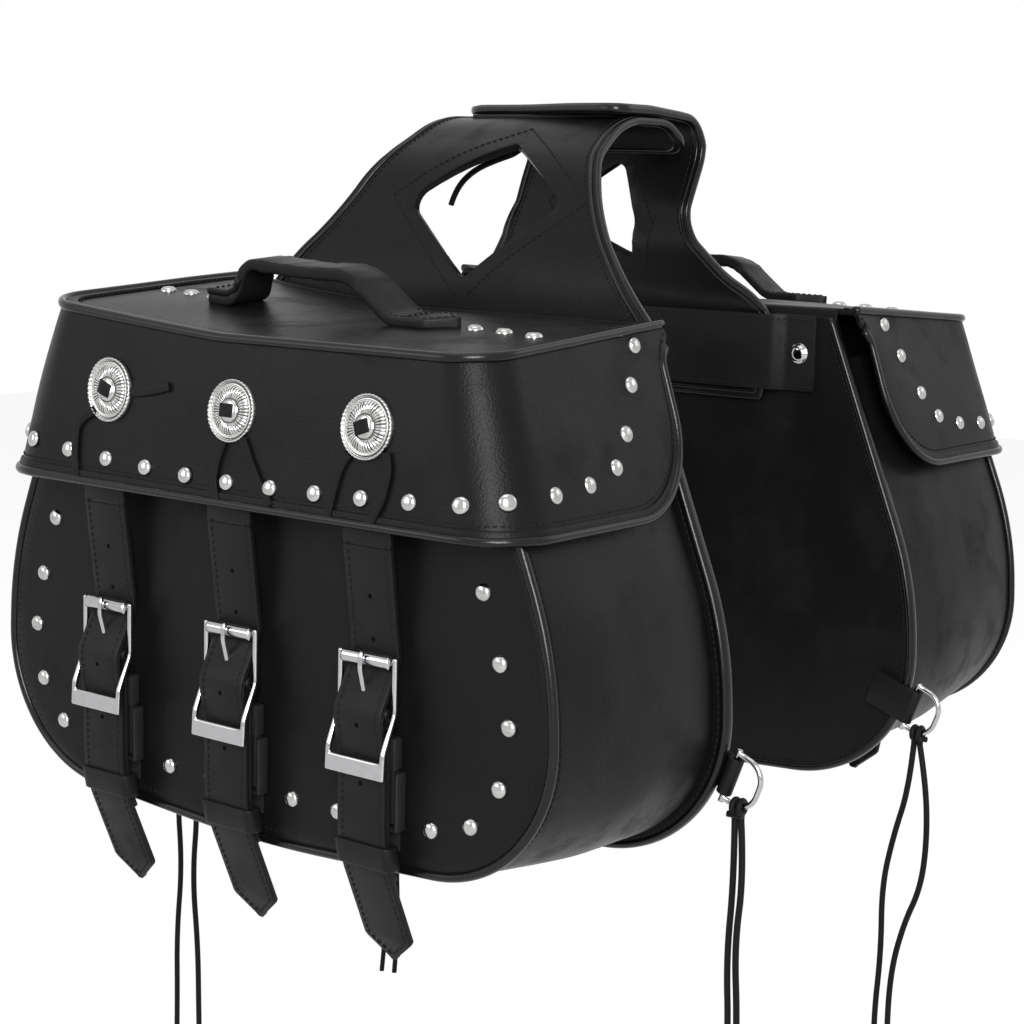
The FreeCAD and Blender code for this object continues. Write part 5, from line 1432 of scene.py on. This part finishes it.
patch = {"x": 52, "from": -14, "to": 36, "corner": 4, "lift": 0.95}
nearHalf = Drape("right")
span = np.interp((patch["from"], patch["to"] - 2), nearHalf.path[:, 0], nearHalf.along)
corners = [(x * patch["x"], span[end], patch["corner"]) for x, end in ((-1, 0), (1, 0), (1, 1), (-1, 1))]
points, faces = cutSheet(resampled(rounded(corners, True, 1.0), step=2.5, closed=True), [], 8, 5)
yokePiece("YokePatch", nearHalf.place(points, yoke["thick"] / 2 + patch["lift"]), faces, tape, "hook_loop",
          "right_bag", ["yoke_patch"], {"thick": 0.0018, "offset": 0, "bevel": 0.0003})
tieKnot = {"middle": (2, -28.6, -7.0), "radius": 3.6, "wrap": 3.1, "bob": 0.9, "cord": 1.5}
ball = [(tieKnot["radius"] * math.sin(a), -tieKnot["radius"] * math.cos(a))
        for a in np.linspace(0.12, math.pi - 0.12, 11)]
wrap = [(tieKnot["wrap"] * math.cos(a), tieKnot["wrap"] * math.sin(a), tieKnot["bob"] * math.sin(2 * a))
        for a in np.linspace(0, math.tau, 28, endpoint=False)]
knotParts = [lathe(tieKnot["middle"], (0, 0.2, 0.98), ball, 20),
             swept(np.add(tieKnot["middle"], wrap), ringSection(tieKnot["cord"], 8), (0, 0, 1), closed=True)]
yokePiece("TieKnot", *merged(knotParts), laceLeather, "lace", "right_bag")
print("patch and knot set")


# Floor, white surroundings and lamps

stage = {"floor": -0.66, "half": 4, "glow": 0.85}

# 1 for rays that show the surroundings, 0 for rays that carry light
def shownTo(tree):
    rays = addNode(tree, "ShaderNodeLightPath").outputs
    both = mathNode(tree, "MAXIMUM", rays["Is Camera Ray"], rays["Is Glossy Ray"])
    return mathNode(tree, "MAXIMUM", both, rays["Is Transmission Ray"])

def addWorld():
    world = bpy.data.worlds.new("surroundings")
    world.use_nodes = True
    tree = world.node_tree
    back = tree.nodes["Background"]
    strength = mathNode(tree, "MULTIPLY_ADD", shownTo(tree), 1 - lights["ambient"], lights["ambient"])
    tree.links.new(strength, back.inputs["Strength"])
    back.inputs["Color"].default_value = (1, 1, 1, 1)
    scene.world = world

def addFloor():
    material, tree, shader = newMaterial("floor")
    shader.inputs["Base Color"].default_value = (0.3, 0.3, 0.3, 1)
    shader.inputs["Roughness"].default_value = 0.9
    shader.inputs["Specular IOR Level"].default_value = 0
    shown = mathNode(tree, "MULTIPLY", shownTo(tree), stage["glow"])
    glow = addNode(tree, "ShaderNodeEmission", {"Strength": shown})
    both = addNode(tree, "ShaderNodeAddShader", {0: shader.outputs[0], 1: glow.outputs[0]})
    tree.links.new(both.outputs[0], tree.nodes["Material Output"].inputs["Surface"])
    corners = [(x * stage["half"], y * stage["half"], stage["floor"])
               for x, y in ((-1, -1), (1, -1), (1, 1), (-1, 1))]
    link("floor", meshFrom("floor", corners, [(0, 1, 2, 3)]), material, False)

lights = {"ambient": 0.26,
          "key": {"place": (1.5, -1.7, 0.5), "aim": (0.1, -0.15, -0.25), "size": (0.9, 1.3), "power": 62},
          "fill": {"place": (-1.2, -2.2, 0.6), "aim": (0, -0.2, -0.25), "size": (1.4, 1.4), "power": 14},
          "top": {"place": (0.1, -0.5, 1.9), "aim": (0, -0.1, -0.1), "size": (1.6, 1.2), "power": 9},
          "back": {"place": (1.4, 1.5, 0.9), "aim": (0, 0.1, -0.2), "size": (1.0, 1.0), "power": 4}}

def addLamp(name):
    spec = lights[name]
    data = bpy.data.lights.new(name, "AREA")
    data.shape = "RECTANGLE"
    data.size, data.size_y = spec["size"]
    data.energy = spec["power"]
    place, aim = Vector(spec["place"]), Vector(spec["aim"])
    turn = (aim - place).to_track_quat("-Z", "Y").to_matrix().to_4x4()
    added(name, data).matrix_world = Matrix.Translation(place) @ turn

addWorld()
addFloor()
for name in ("key", "fill", "top", "back"):
    addLamp(name)
scene.view_settings.view_transform = "Standard"
print("lights on")
